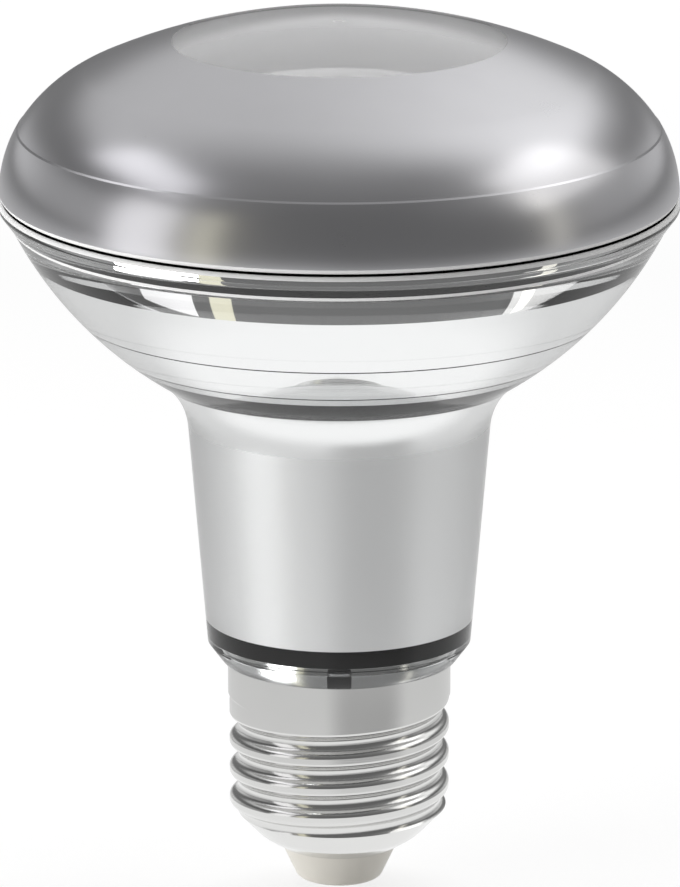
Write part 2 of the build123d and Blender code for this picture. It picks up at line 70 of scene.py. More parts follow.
Colour = tuple[float, float, float]
Point = tuple[float, float]


class Grain(Enum):
    """Direction of the fine marks that a metal surface carries."""

    SATIN = "blasted evenly"
    SPUN = "rings about the axis"
    DRAWN = "lines along the axis"


class Rounded(Enum):
    """What a rounding is put on, by Blender's own name."""

    CORNERS = "VERTICES"
    EDGES = "EDGES"


class GlassCoat(IntEnum):
    """Coats of the glass body, in the order of its material slots."""

    CLEAR = 0
    SILVER = 1
    # Black coat, partly painted shade.
    BLACK = 2
    # White coat on the rim's edges: a painted highlight.
    GROUND = 3


class PackageCoat(IntEnum):
    """Finishes of the light packages, in the order of their material slots."""

    BODY = 0
    FILL = 1


class LensCoat(IntEnum):
    """Coats of the lens, in the order of its material slots."""

    SATIN = 0
    LINING = 1
    # White coat on the lip: a painted highlight.
    GROUND = 2


class Signal:
    """A shader socket that takes part in Python expressions."""

    def __init__(self, sheet: "NodeSheet", socket: bpy.types.NodeSocket) -> None:
        """Wraps an output socket of a sheet."""
        self.sheet = sheet
        self.socket = socket

    def _math(self, operation: str, first: "Value", second: "Value" = 0.0) -> "Signal":
        """Adds a Math node.

        Args:
            operation: Name of the Math node's operation.
            first: First value or signal.
            second: Second value or signal.

        Returns:
            The node's result.
        """
        return self.sheet.node("ShaderNodeMath", {"operation": operation}, {0: first, 1: second}, 0)

    def __add__(self, other: "Value") -> "Signal":
        """Adds a value."""
        return self._math("ADD", self, other)

    def __radd__(self, other: "Value") -> "Signal":
        """Is added to a value."""
        return self._math("ADD", other, self)

    def __sub__(self, other: "Value") -> "Signal":
        """Takes a value away."""
        return self._math("SUBTRACT", self, other)

    def __rsub__(self, other: "Value") -> "Signal":
        """Is taken away from a value."""
        return self._math("SUBTRACT", other, self)

    def __mul__(self, other: "Value") -> "Signal":
        """Multiplies by a value."""
        return self._math("MULTIPLY", self, other)

    def __rmul__(self, other: "Value") -> "Signal":
        """Multiplies a value."""
        return self._math("MULTIPLY", other, self)

    def __truediv__(self, other: "Value") -> "Signal":
        """Divides by a value."""
        return self._math("DIVIDE", self, other)

    def __rtruediv__(self, other: "Value") -> "Signal":
        """Divides a value."""
        return self._math("DIVIDE", other, self)

    def __pow__(self, other: "Value") -> "Signal":
        """Raises to a power."""
        return self._math("POWER", self, other)

    def __rpow__(self, other: "Value") -> "Signal":
        """Is the power of a value."""
        return self._math("POWER", other, self)

    def most(self, other: "Value") -> "Signal":
        """Is the larger of itself and a value."""
        return self._math("MAXIMUM", self, other)

    def step(self, low: float, high: float) -> "Signal":
        """Rises smoothly from zero at one value to one at another.

        Args:
            low: Value at which the result is zero.
            high: Value at which the result is one; it may lie below the other.

        Returns:
            The smooth step.
        """
        settings = {"interpolation_type": "SMOOTHSTEP"}
        if high > low:
            return self.sheet.node("ShaderNodeMapRange", settings, {"Value": self, 1: low, 2: high}, 0)
        return 1.0 - self.sheet.node("ShaderNodeMapRange", settings, {"Value": self, 1: high, 2: low}, 0)


Value = Union[float, Signal]


@dataclass(frozen=True)
class AxisPlace:
    """Place of a shaded point about the bulb's axis, in millimetres."""

    x: Signal
    y: Signal
    height: Signal
    radius: Signal


class NodeSheet:
    """A node tree under construction."""

    def __init__(self, tree: bpy.types.NodeTree) -> None:
        """Starts on an empty tree."""
        self.tree = tree
        tree.nodes.clear()

    def node(
        self,
        kind: str,
        settings: Mapping[str, Any],
        inputs: Mapping[Union[int, str], Any],
        output: Union[int, str, None] = None,
    ) -> Any:
        """Adds any node.

        Args:
            kind: Type name of the node.
            settings: Values of its own properties, which are set first.
            inputs: Values or signals of its sockets, by index, identifier or name.
            output: Socket to return, by index, identifier or name.

        Returns:
            The signal of the output asked for, or the node where none is.
        """
        made = self.tree.nodes.new(kind)
        for name, value in settings.items():
            setattr(made, name, value)
        for key, value in inputs.items():
            socket = self._socket(made.inputs, key)
            if isinstance(value, Signal):
                self.tree.links.new(value.socket, socket)
            else:
                socket.default_value = value
        return made if output is None else Signal(self, self._socket(made.outputs, output))

    @staticmethod
    def _socket(sockets: Any, key: Union[int, str]) -> bpy.types.NodeSocket:
        """Finds a socket.

        Args:
            sockets: Inputs or outputs of a node.
            key: Index, identifier or name of the socket.

        Returns:
            The socket.
        """
        if isinstance(key, int):
            return sockets[key]
        return next(socket for socket in sockets if key in (socket.identifier, socket.name))

    def place(self) -> Signal:
        """Object coordinates.

        Returns:
            The shaded point's place, in millimetres.
        """
        coordinates = self.node("ShaderNodeTexCoord", {}, {}, "Object")
        inputs = {"Vector": coordinates, "Scale": (1 / MM, 1 / MM, 1 / MM)}
        return self.node("ShaderNodeMapping", {"vector_type": "POINT"}, inputs, 0)

    def axis_place(self) -> AxisPlace:
        """Splits the place into its parts about the axis.

        Returns:
            The parts.
        """
        split = self.node("ShaderNodeSeparateXYZ", {}, {0: self.place()})
        x, y, z = (Signal(self, socket) for socket in split.outputs)
        return AxisPlace(x, y, z, (x * x + y * y) ** 0.5)

    def vector(self, x: Value, y: Value, z: Value) -> Signal:
        """Joins three values into a vector."""
        return self.node("ShaderNodeCombineXYZ", {}, {0: x, 1: y, 2: z}, 0)

    def noise(self, place: Signal, size: float, detail: float = 2.0) -> Signal:
        """Soft noise about one half.

        Args:
            place: Place in millimetres.
            size: Size of its patches, in millimetres.
            detail: How many finer layers it has.

        Returns:
            Value from zero to one.
        """
        inputs = {"Vector": place, "Scale": 1.0 / size, "Detail": detail}
        return self.node("ShaderNodeTexNoise", {"noise_dimensions": "3D"}, inputs, 0)

    def blend(self, factor: Value, first: Any, second: Any) -> Signal:
        """Mixes two colours.

        Args:
            factor: Share of the second colour.
            first: First colour or signal.
            second: Second colour or signal.

        Returns:
            The mixed colour.
        """
        inputs = {
            "Factor_Float": factor,
            "A_Color": first if isinstance(first, Signal) else (*first, 1.0),
            "B_Color": second if isinstance(second, Signal) else (*second, 1.0),
        }
        return self.node("ShaderNodeMix", {"data_type": "RGBA"}, inputs, "Result_Color")

    def shades(self, factor: Value, colour: Colour, swing: float) -> Signal:
        """Mixes a darker and a lighter shade of a colour.

        Args:
            factor: Share of the lighter shade.
            colour: Middle colour.
            swing: Share by which the shades are darker and lighter.

        Returns:
            The mixed colour.
        """
        return self.blend(factor, tone(colour, 1.0 - swing), tone(colour, 1.0 + swing))

    def bump(self, height: Signal, depth: float) -> Signal:
        """Turns a height into a shading normal.

        Args:
            height: Height from zero to one.
            depth: Depth of the relief, in millimetres.

        Returns:
            The normal.
        """
        return self.node("ShaderNodeBump", {}, {"Strength": 1.0, "Distance": depth * MM, "Height": height}, 0)

    def surface(self, inputs: Mapping[str, Any]) -> Signal:
        """Adds a Principled shader with the given sockets."""
        return self.node("ShaderNodeBsdfPrincipled", {}, inputs, 0)

    def mix(self, factor: Value, first: Signal, second: Signal) -> Signal:
        """Mixes two shaders by the share of the second."""
        return self.node("ShaderNodeMixShader", {}, {0: factor, 1: first, 2: second}, 0)


def tone(colour: Colour, share: float) -> Colour:
    """Lightens or darkens a colour by a share."""
    return (colour[0] * share, colour[1] * share, colour[2] * share)


@dataclass(frozen=True)
class Finish(ABC):
    """A surface finish that becomes one material."""

    name: str

    @abstractmethod
    def paint(self, sheet: NodeSheet) -> Signal:
        """Adds the finish's nodes.

        Args:
            sheet: Sheet of the material.

        Returns:
            The finish's shader.
        """

    def material(self) -> bpy.types.Material:
        """Makes the material, once.

        Returns:
            The material of this finish.
        """
        made = bpy.data.materials.get(self.name)
        if made is None:
            made = bpy.data.materials.new(self.name)
            made.use_nodes = True
            sheet = NodeSheet(made.node_tree)
            sheet.node("ShaderNodeOutputMaterial", {}, {"Surface": self.paint(sheet)})
        return made


@dataclass(frozen=True)
class Metal(Finish):
    """Bare or plated metal with a fine grain."""

    colour: Colour
    roughness: float
    drift: float
    grain: Grain
    grain_size: float
    grain_depth: float
    cloud_size: float = 7.0
    cloud_tint: float = 0.03
    cloud_share: float = 0.6
    drawn_reach: float = 10.0
    drawn_stretch: float = 0.02

    def grain_place(self, sheet: NodeSheet) -> Signal:
        """Place that runs along the grain's own direction.

        Args:
            sheet: Sheet of the material.

        Returns:
            Place for the grain's noise, in millimetres.
        """
        if self.grain is Grain.SATIN:
            return sheet.place()
        about = sheet.axis_place()
        if self.grain is Grain.SPUN:
            return sheet.vector(about.radius, about.height, 0.0)
        across = self.drawn_reach * about.x / about.radius
        ahead = self.drawn_reach * about.y / about.radius
        return sheet.vector(across, ahead, about.height * self.drawn_stretch)

    def paint(self, sheet: NodeSheet) -> Signal:
        """Adds metal whose gloss and tint wander a little.

        Args:
            sheet: Sheet of the material.

        Returns:
            The finish's shader.
        """
        cloud = sheet.noise(sheet.place(), self.cloud_size, CLOUD_DETAIL)
        marks = sheet.noise(self.grain_place(sheet), self.grain_size)
        wander = self.cloud_share * cloud + (1.0 - self.cloud_share) * marks - NOISE_MIDDLE
        return sheet.surface(
            {
                "Base Color": sheet.shades(cloud, self.colour, self.cloud_tint),
                "Metallic": 1.0,
                "Roughness": self.roughness + self.drift * wander,
                "Normal": sheet.bump(marks, self.grain_depth),
            }
        )


@dataclass(frozen=True)
class Glass(Finish):
    """Polished glass, clear or with a white haze in it."""

    colour: Colour = (0.97, 0.98, 0.98)
    index: float = 1.5
    haze: float = 0.0
    smear_size: float = 9.0
    smear_detail: float = 4.0
    smear_low: float = 0.45
    smear_high: float = 0.8
    smear_roughness: float = 0.02
    smear_tint: float = 0.01

    def paint(self, sheet: NodeSheet) -> Signal:
        """Adds glass with the faint smears of handling.

        Args:
            sheet: Sheet of the material.

        Returns:
            The finish's shader.
        """
        smear = sheet.noise(sheet.place(), self.smear_size, self.smear_detail)
        return sheet.surface(
            {
                "Base Color": sheet.blend(smear, self.colour, tone(self.colour, 1.0 + self.smear_tint)),
                "Roughness": self.smear_roughness * smear.step(self.smear_low, self.smear_high),
                "IOR": self.index,
                "Transmission Weight": 1.0 - self.haze,
            }
        )


@dataclass(frozen=True)
class SilveredLens(Finish):
    """Satin silvering with a clear round window about the axis."""

    silver: Metal
    glass: Glass
    window_radius: float
    window_edge: float

    def paint(self, sheet: NodeSheet) -> Signal:
        """Adds the silvering outside the window and glass inside it.

        Args:
            sheet: Sheet of the material.

        Returns:
            The finish's shader.
        """
        about = sheet.axis_place()
        half = self.window_edge / 2.0
        window = about.radius.step(self.window_radius + half, self.window_radius - half)
        return sheet.mix(window, self.silver.paint(sheet), self.glass.paint(sheet))


@dataclass(frozen=True)
class SilverCoat(Finish):
    """Silvering on the inside of the glass, bright in the bowl and satin in the neck."""

    bowl_colour: Colour
    neck_colour: Colour
    neck_roughness: float
    bowl_roughness: float
    neck_height: float
    bowl_height: float
    cloud_size: float = 8.0
    cloud_roughness: float = 0.01

    def paint(self, sheet: NodeSheet) -> Signal:
        """Adds silvering whose gloss follows the height.

        Args:
            sheet: Sheet of the material.

        Returns:
            The finish's shader.
        """
        about = sheet.axis_place()
        cloud = sheet.noise(sheet.place(), self.cloud_size, CLOUD_DETAIL)
        bright = about.height.step(self.neck_height, self.bowl_height)
        level = self.neck_roughness + (self.bowl_roughness - self.neck_roughness) * bright
        return sheet.surface(
            {
                "Base Color": sheet.blend(bright, self.neck_colour, self.bowl_colour),
                "Metallic": 1.0,
                "Roughness": level + self.cloud_roughness * cloud,
            }
        )


@dataclass(frozen=True)
class Moulded(Finish):
    """Moulded plastic, rubber or epoxy, and the flat black and white coats that paint shade and highlights on
    the glass.
    """

    colour: Colour
    roughness: float
    mottle: float
    grain_size: float
    grain_depth: float
    gloss: float = 0.5
    cloud_size: float = 3.0
    drift: float = 0.12

    def paint(self, sheet: NodeSheet) -> Signal:
        """Adds a mottled colour, a moulded grain and uneven gloss.

        Args:
            sheet: Sheet of the material.

        Returns:
            The finish's shader.
        """
        cloud = sheet.noise(sheet.place(), self.cloud_size, CLOUD_DETAIL)
        grain = sheet.noise(sheet.place(), self.grain_size)
        return sheet.surface(
            {
                "Base Color": sheet.shades(cloud, self.colour, self.mottle),
                "Roughness": self.roughness + self.drift * (cloud - NOISE_MIDDLE),
                "Specular IOR Level": self.gloss,
                "Normal": sheet.bump(grain, self.grain_depth),
            }
        )


@dataclass(frozen=True)
class CircuitBoard(Finish):
    """Solder resist over copper tracks."""

    resist: Colour
    over_copper: Colour
    track: float
    scatter: float = 0.6
    track_low: float = 0.42
    track_high: float = 0.5
    track_height: float = 0.02
    cloud_size: float = 0.6
    roughness: float = 0.35
    drift: float = 0.15

    def paint(self, sheet: NodeSheet) -> Signal:
        """Adds straight and crossing tracks under the resist.

        Args:
            sheet: Sheet of the material.

        Returns:
            The finish's shader.
        """
        place = sheet.place()
        cells = sheet.node(
            "ShaderNodeTexVoronoi",
            {"distance": "MANHATTAN", "feature": "F1"},
            {"Vector": place, "Scale": 1.0 / self.track, "Randomness": self.scatter},
            "Distance",
        )
        copper = cells.step(self.track_low, self.track_high)
        cloud = sheet.noise(place, self.cloud_size)
        return sheet.surface(
            {
                "Base Color": sheet.blend(copper, self.resist, self.over_copper),
                "Roughness": self.roughness + self.drift * (cloud - NOISE_MIDDLE),
                "Normal": sheet.bump(copper, self.track_height),
            }
        )


@dataclass(frozen=True)
class Phosphor(Finish):
    """Silicone filled with phosphor."""

    colour: Colour
    grain_size: float = 0.15
    grain_depth: float = 0.004
    mottle: float = 0.1
    roughness: float = 0.25
    drift: float = 0.1

    def paint(self, sheet: NodeSheet) -> Signal:
        """Adds a glossy yellow fill with grains in it.

        Args:
            sheet: Sheet of the material.

        Returns:
            The finish's shader.
        """
        grains = sheet.noise(sheet.place(), self.grain_size, CLOUD_DETAIL)
        return sheet.surface(
            {
                "Base Color": sheet.shades(grains, self.colour, self.mottle),
                "Roughness": self.roughness + self.drift * grains,
                "Normal": sheet.bump(grains, self.grain_depth),
            }
        )


SATIN_SILVER = Metal("satin_silver", (0.70, 0.698, 0.72), 0.28, 0.03, Grain.SATIN, 0.3, 0.002)
BRIGHT_SILVER = Metal("bright_silver", (0.97, 0.97, 0.965), 0.55, 0.03, Grain.SATIN, 0.25, 0.001)
CLEAR_GLASS = Glass("polished_glass")
WINDOW_GLASS = Glass("window_glass", (0.97, 0.97, 0.98), haze=0.33)
LENS_SILVER = SilveredLens("silvered_lens", SATIN_SILVER, WINDOW_GLASS, 19.6, 0.2)
LENS_LINING = SilveredLens("lens_lining", BRIGHT_SILVER, WINDOW_GLASS, 19.6, 0.2)
INNER_SILVER = SilverCoat("inner_silver", (0.93, 0.93, 0.93), (0.91, 0.91, 0.91), 0.3, 0.02, 56.0, 62.0)
MIRROR = Metal("mirror_coat", (0.96, 0.96, 0.96), 0.06, 0.03, Grain.SPUN, 0.5, 0.001)
SATIN_SLEEVE = Metal("satin_sleeve", (0.82, 0.82, 0.83), 0.28, 0.05, Grain.DRAWN, 0.3, 0.002)
NICKEL = Metal("nickel_plate", (0.74, 0.74, 0.73), 0.17, 0.05, Grain.SPUN, 0.15, 0.002)
TIN = Metal("tinned_contact", (0.72, 0.70, 0.66), 0.32, 0.15, Grain.SATIN, 0.2, 0.01)
ZINC = Metal("zinc_plate", (0.66, 0.67, 0.69), 0.3, 0.12, Grain.SPUN, 0.1, 0.004)
WIRE = Metal("tinned_wire", (0.76, 0.74, 0.70), 0.3, 0.1, Grain.SATIN, 0.2, 0.006)
CREAM = Moulded("cream_insulator", (0.88, 0.85, 0.78), 0.4, 0.03, 0.35, 0.006)
# Black coat on the glass: partly the black gasket and retainer behind it, partly painted shade in the rim's
# seam and in the keyways.
BLACK_COAT_AND_PAINTED_SHADE = Moulded("black_coat_and_painted_shade", (0.006, 0.006, 0.006), 0.6, 0.2, 0.4, 0.004, 0.0)
# White coat on the edges of the glass and the lens: a painted highlight.
PAINTED_HIGHLIGHT_EDGE = Moulded("painted_highlight_edge", (0.93, 0.93, 0.93), 0.5, 0.02, 0.3, 0.002)
BLACK_RUBBER = Moulded("black_rubber", (0.02, 0.02, 0.02), 0.6, 0.2, 0.2, 0.01)
BLACK_PLASTIC = Moulded("satin_black", (0.03, 0.03, 0.03), 0.38, 0.15, 0.25, 0.008)
PLATED = Metal("plated_carrier", (0.80, 0.80, 0.80), 0.24, 0.06, Grain.SPUN, 0.12, 0.002)
LED_BODY = Moulded("led_body", (0.85, 0.85, 0.82), 0.35, 0.03, 0.2, 0.003)
PHOSPHOR = Phosphor("phosphor", (0.84, 0.62, 0.10))
WHITE_BOARD = CircuitBoard("white_resist", (0.84, 0.84, 0.82), (0.78, 0.77, 0.74), 2.6)
GREEN_BOARD = CircuitBoard("green_resist", (0.03, 0.16, 0.07), (0.06, 0.24, 0.10), 1.6)
SHRINK_SLEEVE = Moulded("shrink_sleeve", (0.04, 0.04, 0.07), 0.3, 0.2, 0.5, 0.006)
DIPPED_RESIN = Moulded("dipped_resin", (0.50, 0.22, 0.05), 0.22, 0.1, 0.8, 0.01)
EPOXY = Moulded("moulded_epoxy", (0.03, 0.03, 0.03), 0.5, 0.2, 0.15, 0.01)
LACQUER = Moulded("fuse_lacquer", (0.22, 0.36, 0.24), 0.25, 0.08, 0.4, 0.006)


def round_off(mesh: bmesh.types.BMesh, geometry: list[Any], size: float, put_on: Rounded, steps: int) -> None:
    """Rounds corners or edges of a mesh.

    Args:
        mesh: Mesh that is rounded.
        geometry: Its vertices or edges.
        size: How far from them the rounding starts.
        put_on: Whether corners or edges are rounded.
        steps: Facets of the rounding.
    """
    bmesh.ops.bevel(
        mesh,
        geom=geometry,
        offset=size,
        offset_type="OFFSET",
        affect=put_on.value,
        segments=steps,
        profile=0.5,
        material=-1,
    )


def add_rod(
    mesh: bmesh.types.BMesh, place: Point, radius: float, low: float, high: float, steps: int
) -> list[bmesh.types.BMVert]:
    """Adds an upright round rod with closed ends.

    Args:
        mesh: Mesh that gets the rod.
        place: Centre of the rod.
        radius: Radius of the rod.
        low: Height of its lower end.
        high: Height of its upper end.
        steps: Facets round it.

    Returns:
        The rod's vertices.
    """
    made = bmesh.ops.create_cone(
        mesh,
        cap_ends=True,
        segments=steps,
        radius1=radius,
        radius2=radius,
        depth=high - low,
        matrix=Matrix.Translation((*place, (low + high) / 2)),
    )
    return made["verts"]


class Lathe:
    """Draws half a section in the XZ plane and turns it about the bulb's axis, in millimetres."""

    def __init__(self, radius: float, height: float) -> None:
        """Sets the pen down at the section's first point.

        Args:
            radius: Radius of the point.
            height: Height of the point.
        """
        self.mesh = bmesh.new()
        self.start = (radius, height)
        self.pen = bmesh.ops.create_vert(self.mesh, co=(radius, 0.0, height))["vert"][0]
        self.corners: list[tuple[bmesh.types.BMVert, float]] = []

    def line(self, radius: float, height: float) -> "Lathe":
        """Draws a straight line to a point.

        Args:
            radius: Radius of the point.
            height: Height of the point.

        Returns:
            The lathe itself.
        """
        self.pen = bmesh.ops.extrude_vert_indiv(self.mesh, verts=[self.pen])["verts"][0]
        self.pen.co = (radius, 0.0, height)
        return self

    def arc(self, centre: Point, radius: float, height: float) -> "Lathe":
        """Draws an arc to a point, the short way round.

        Args:
            centre: Radius and height of the arc's centre.
            radius: Radius of the point.
            height: Height of the point.

        Returns:
            The lathe itself.
        """
        here = self.pen.co
        first = math.atan2(here.z - centre[1], here.x - centre[0])
        last = math.atan2(height - centre[1], radius - centre[0])
        sweep = (last - first + math.pi) % math.tau - math.pi
        steps = max(1, math.ceil(abs(sweep) / ARC_STEP))
        swept = bmesh.ops.spin(
            self.mesh,
            geom=[self.pen],
            cent=(centre[0], 0.0, centre[1]),
            axis=(0, -1, 0),
            angle=sweep,
            steps=steps,
        )
        self.pen = swept["geom_last"][0]
        return self

    def ease(self, size: float) -> "Lathe":
        """Rounds the corner at the pen when the section is turned."""
        self.corners.append((self.pen, size))
        return self

    def close(self) -> "Lathe":
        """Draws a straight line back to the first point."""
        return self.line(*self.start)

    def turn(self) -> bmesh.types.BMesh:
        """Rounds the corners and turns the section into a closed skin.

        Returns:
            The turned mesh, in millimetres.
        """
        mesh = self.mesh
        for corner, size in self.corners:
            round_off(mesh, [corner], size, Rounded.CORNERS, EDGE_STEPS)
        bmesh.ops.remove_doubles(mesh, verts=mesh.verts[:], dist=MERGE)
        section = mesh.verts[:] + mesh.edges[:]
        bmesh.ops.spin(
            mesh,
            geom=section,
            cent=(0, 0, 0),
            axis=(0, 0, 1),
            angle=math.tau,
            steps=TURN_STEPS,
            use_merge=True,
        )
        bmesh.ops.remove_doubles(mesh, verts=mesh.verts[:], dist=MERGE)
        bmesh.ops.dissolve_degenerate(mesh, edges=mesh.edges[:], dist=MERGE)
        bmesh.ops.recalc_face_normals(mesh, faces=mesh.faces[:])
        return mesh


@dataclass(frozen=True)
class Outline:
    """Outside line of the glass: a tapered neck, a flare and the bowl's arc, in millimetres."""

    foot_height: float = 28.5
    neck_radius: float = 15.42
    neck_taper: float = math.radians(4.84)
    flare_curve: float = 8.5
    bowl_curve: float = 46.6
    root_radius: float = 21.9
    root_height: float = 63.5
    edge_radius: float = 38.5
    edge_height: float = 81.9

    @cached_property
    def bowl_centre(self) -> Vector:
        """Centre of the bowl's arc through its root and edge.

        Returns:
            Radius and height of the centre.
        """
        root = Vector((self.root_radius, self.root_height))
        chord = Vector((self.edge_radius, self.edge_height)) - root
        across = Vector((-chord.y, chord.x)).normalized()
        return root + chord / 2 + across * math.sqrt(self.bowl_curve**2 - chord.length_squared / 4)

    @cached_property
    def neck_out(self) -> Vector:
        """Direction square to the neck, outwards."""
        return Vector((math.cos(self.neck_taper), -math.sin(self.neck_taper)))

    @cached_property
    def flare_centre(self) -> Vector:
        """Centre of the arc that is tangent to the neck and the bowl.

        Returns:
            Radius and height of the centre.
        """
        along = Vector((-self.neck_out.y, self.neck_out.x))
        line = Vector((self.neck_radius, self.foot_height)) + self.neck_out * self.flare_curve
        offset = line - self.bowl_centre
        near = offset.dot(along)
        reach = (self.bowl_curve + self.flare_curve) ** 2 - offset.length_squared + near**2
        return line - along * (near + math.sqrt(reach))

    def bends(self, inset: float) -> Point:
        """Heights where the flare starts and ends on the drawn-in outline.

        Args:
            inset: How far the outline is drawn in.

        Returns:
            The lower and the upper height.
        """
        low = self.flare_centre - self.neck_out * (self.flare_curve + inset)
        out = (self.flare_centre - self.bowl_centre).normalized()
        return low.y, (self.bowl_centre + out * (self.bowl_curve - inset)).y

    def radius(self, height: float, inset: float) -> float:
        """Radius of the drawn-in outline.

        Args:
            height: Height on the axis.
            inset: How far the outline is drawn in.

        Returns:
            The radius.
        """
        low, high = self.bends(inset)
        if height < low:
            rise = height - self.foot_height
            return self.neck_radius + rise * math.tan(self.neck_taper) - inset / math.cos(self.neck_taper)
        if height < high:
            drop = height - self.flare_centre.y
            return self.flare_centre.x - math.sqrt((self.flare_curve + inset) ** 2 - drop**2)
        drop = height - self.bowl_centre.y
        return self.bowl_centre.x + math.sqrt((self.bowl_curve - inset) ** 2 - drop**2)

    def trace(self, lathe: Lathe, inset: float, start: float, end: float) -> Lathe:
        """Draws along the drawn-in outline, up or down.

        Args:
            lathe: Lathe whose pen is drawn to the outline first.
            inset: How far the outline is drawn in.
            start: Height to start from.
            end: Height to end at.

        Returns:
            The lathe.
        """
        low, high = self.bends(inset)
        between = [z for z in (low, high) if min(start, end) < z < max(start, end)]
        lathe.line(self.radius(start, inset), start)
        for stop in (*sorted(between, reverse=end < start), end):
            middle = (lathe.pen.co.z + stop) / 2
            radius = self.radius(stop, inset)
            if middle < low:
                lathe.line(radius, stop)
            else:
                lathe.arc(tuple(self.flare_centre if middle < high else self.bowl_centre), radius, stop)
        return lathe


OUTLINE = Outline()


@dataclass
class SubAssembly(ABC):
    """A group of pieces that are made and finished together."""

    pieces: dict[str, bpy.types.Object] = field(default_factory=dict, init=False)

    @abstractmethod
    def build(self) -> None:
        """Makes the meshes."""

    @abstractmethod
    def dress(self) -> None:
        """Gives every piece its finish."""

    def keep(
        self, name: str, mesh: bmesh.types.BMesh, node: str, sharp: float = SHARP_ANGLE
    ) -> bpy.types.Object:
        """Turns a mesh in millimetres into a piece that stands for a CAD node.

        Args:
            name: Name of the piece.
            mesh: Mesh in millimetres, which is freed.
            node: CAD node that it replaces.
            sharp: Angle between faces from which their edge is shaded sharp.

        Returns:
            The piece.
        """
        bmesh.ops.scale(mesh, vec=(MM, MM, MM), verts=mesh.verts[:])
        data = bpy.data.meshes.new(name)
        mesh.to_mesh(data)
        mesh.free()
        data.shade_smooth()
        data.set_sharp_from_angle(angle=sharp)
        piece = bpy.data.objects.new(name, data)
        bpy.context.scene.collection.objects.link(piece)
        normals = piece.modifiers.new("even_normals", "WEIGHTED_NORMAL")
        normals.keep_sharp = True
        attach(piece, BODY)
        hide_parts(node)
        self.pieces[name] = piece
        return piece

    def drill(
        self, piece: bpy.types.Object, places: Iterable[Point], radius: float, low: float, high: float
    ) -> None:
        """Cuts upright round holes into a piece.

        Args:
            piece: Piece that is cut.
            places: Centres of the holes, in millimetres.
            radius: Radius of the holes.
            low: Height of their lower ends.
            high: Height of their upper ends.
        """
        bits = bmesh.new()
        for place in places:
            add_rod(bits, place, radius, low, high, DRILL_STEPS)
        bmesh.ops.scale(bits, vec=(MM, MM, MM), verts=bits.verts[:])
        data = bpy.data.meshes.new("drill")
        bits.to_mesh(data)
        bits.free()
        drill = bpy.data.objects.new("drill", data)
        bpy.context.scene.collection.objects.link(drill)
        cut = piece.modifiers.new("holes", "BOOLEAN")
        cut.operation = "DIFFERENCE"
        cut.solver = "EXACT"
        cut.object = drill
        piece.modifiers.move(len(piece.modifiers) - 1, 0)
        self.settle(piece, cut)
        bpy.data.objects.remove(drill)
        bpy.data.meshes.remove(data)

    @staticmethod
    def settle(piece: bpy.types.Object, modifier: bpy.types.Modifier) -> None:
        """Makes a piece's first modifier part of its mesh.

        Args:
            piece: Piece that has the modifier.
            modifier: Modifier to make permanent.
        """
        with bpy.context.temp_override(object=piece, active_object=piece, selected_objects=[piece]):
            bpy.ops.object.modifier_apply(modifier=modifier.name)

    def coat(self, piece: Union[str, bpy.types.Object], *finishes: Finish) -> None:
        """Puts finishes into the material slots of a piece or a CAD node.

        Args:
            piece: Piece, or the name of a CAD node.
            finishes: Finish of each slot in order.
        """
        target = piece
        if isinstance(piece, str):
            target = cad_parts[piece]
            target.data.materials.clear()
        for finish in finishes:
            target.data.materials.append(finish.material())
        LOG.info("%s: %s", target.name, ", ".join(finish.name for finish in finishes))


@dataclass
class ScrewCap(SubAssembly):
    """Screw shell, insulator and centre contact."""

    button_radius: float = 3.0
    button_height: float = 1.15
    stem_radius: float = 1.2
    stem_top: float = 11.1
    insulator_bore: float = 1.4
    insulator_low: float = 1.2
    insulator_top: float = 10.6
    insulator_end: float = 4.95
    insulator_edge: float = 0.6
    insulator_skin: tuple[Point, ...] = (
        (6.9, 5.4),
        (6.9, 5.924),
        (9.251, 7.393),
        (11.314, 9.528),
        (11.314, 10.6),
    )

    def build(self) -> None:
        """Turns the insulator and the contact."""
        curve = (self.button_radius**2 + self.button_height**2) / (2 * self.button_height)
        contact = Lathe(0.0, 0.0)
        contact.arc((0.0, curve), self.button_radius, self.button_height).ease(SMALL_EDGE)
        contact.line(self.stem_radius, self.button_height)
        contact.line(self.stem_radius, self.stem_top).ease(FULL_EDGE)
        contact.line(0.0, self.stem_top)
        self.keep("contact_button", contact.turn(), "centre_contact")
        insulator = Lathe(self.insulator_bore, self.insulator_low)
        insulator.line(self.insulator_end, self.insulator_low).ease(self.insulator_edge)
        for point in self.insulator_skin:
            insulator.line(*point)
        insulator.line(self.insulator_bore, self.insulator_top).close()
        self.keep("insulator_cone", insulator.turn(), "cap_insulator")

    def dress(self) -> None:
        """Plates the shell and the contact and colours the insulator."""
        self.coat(self.pieces["contact_button"], TIN)
        self.coat(self.pieces["insulator_cone"], CREAM)
        self.coat("screw_shell", NICKEL)


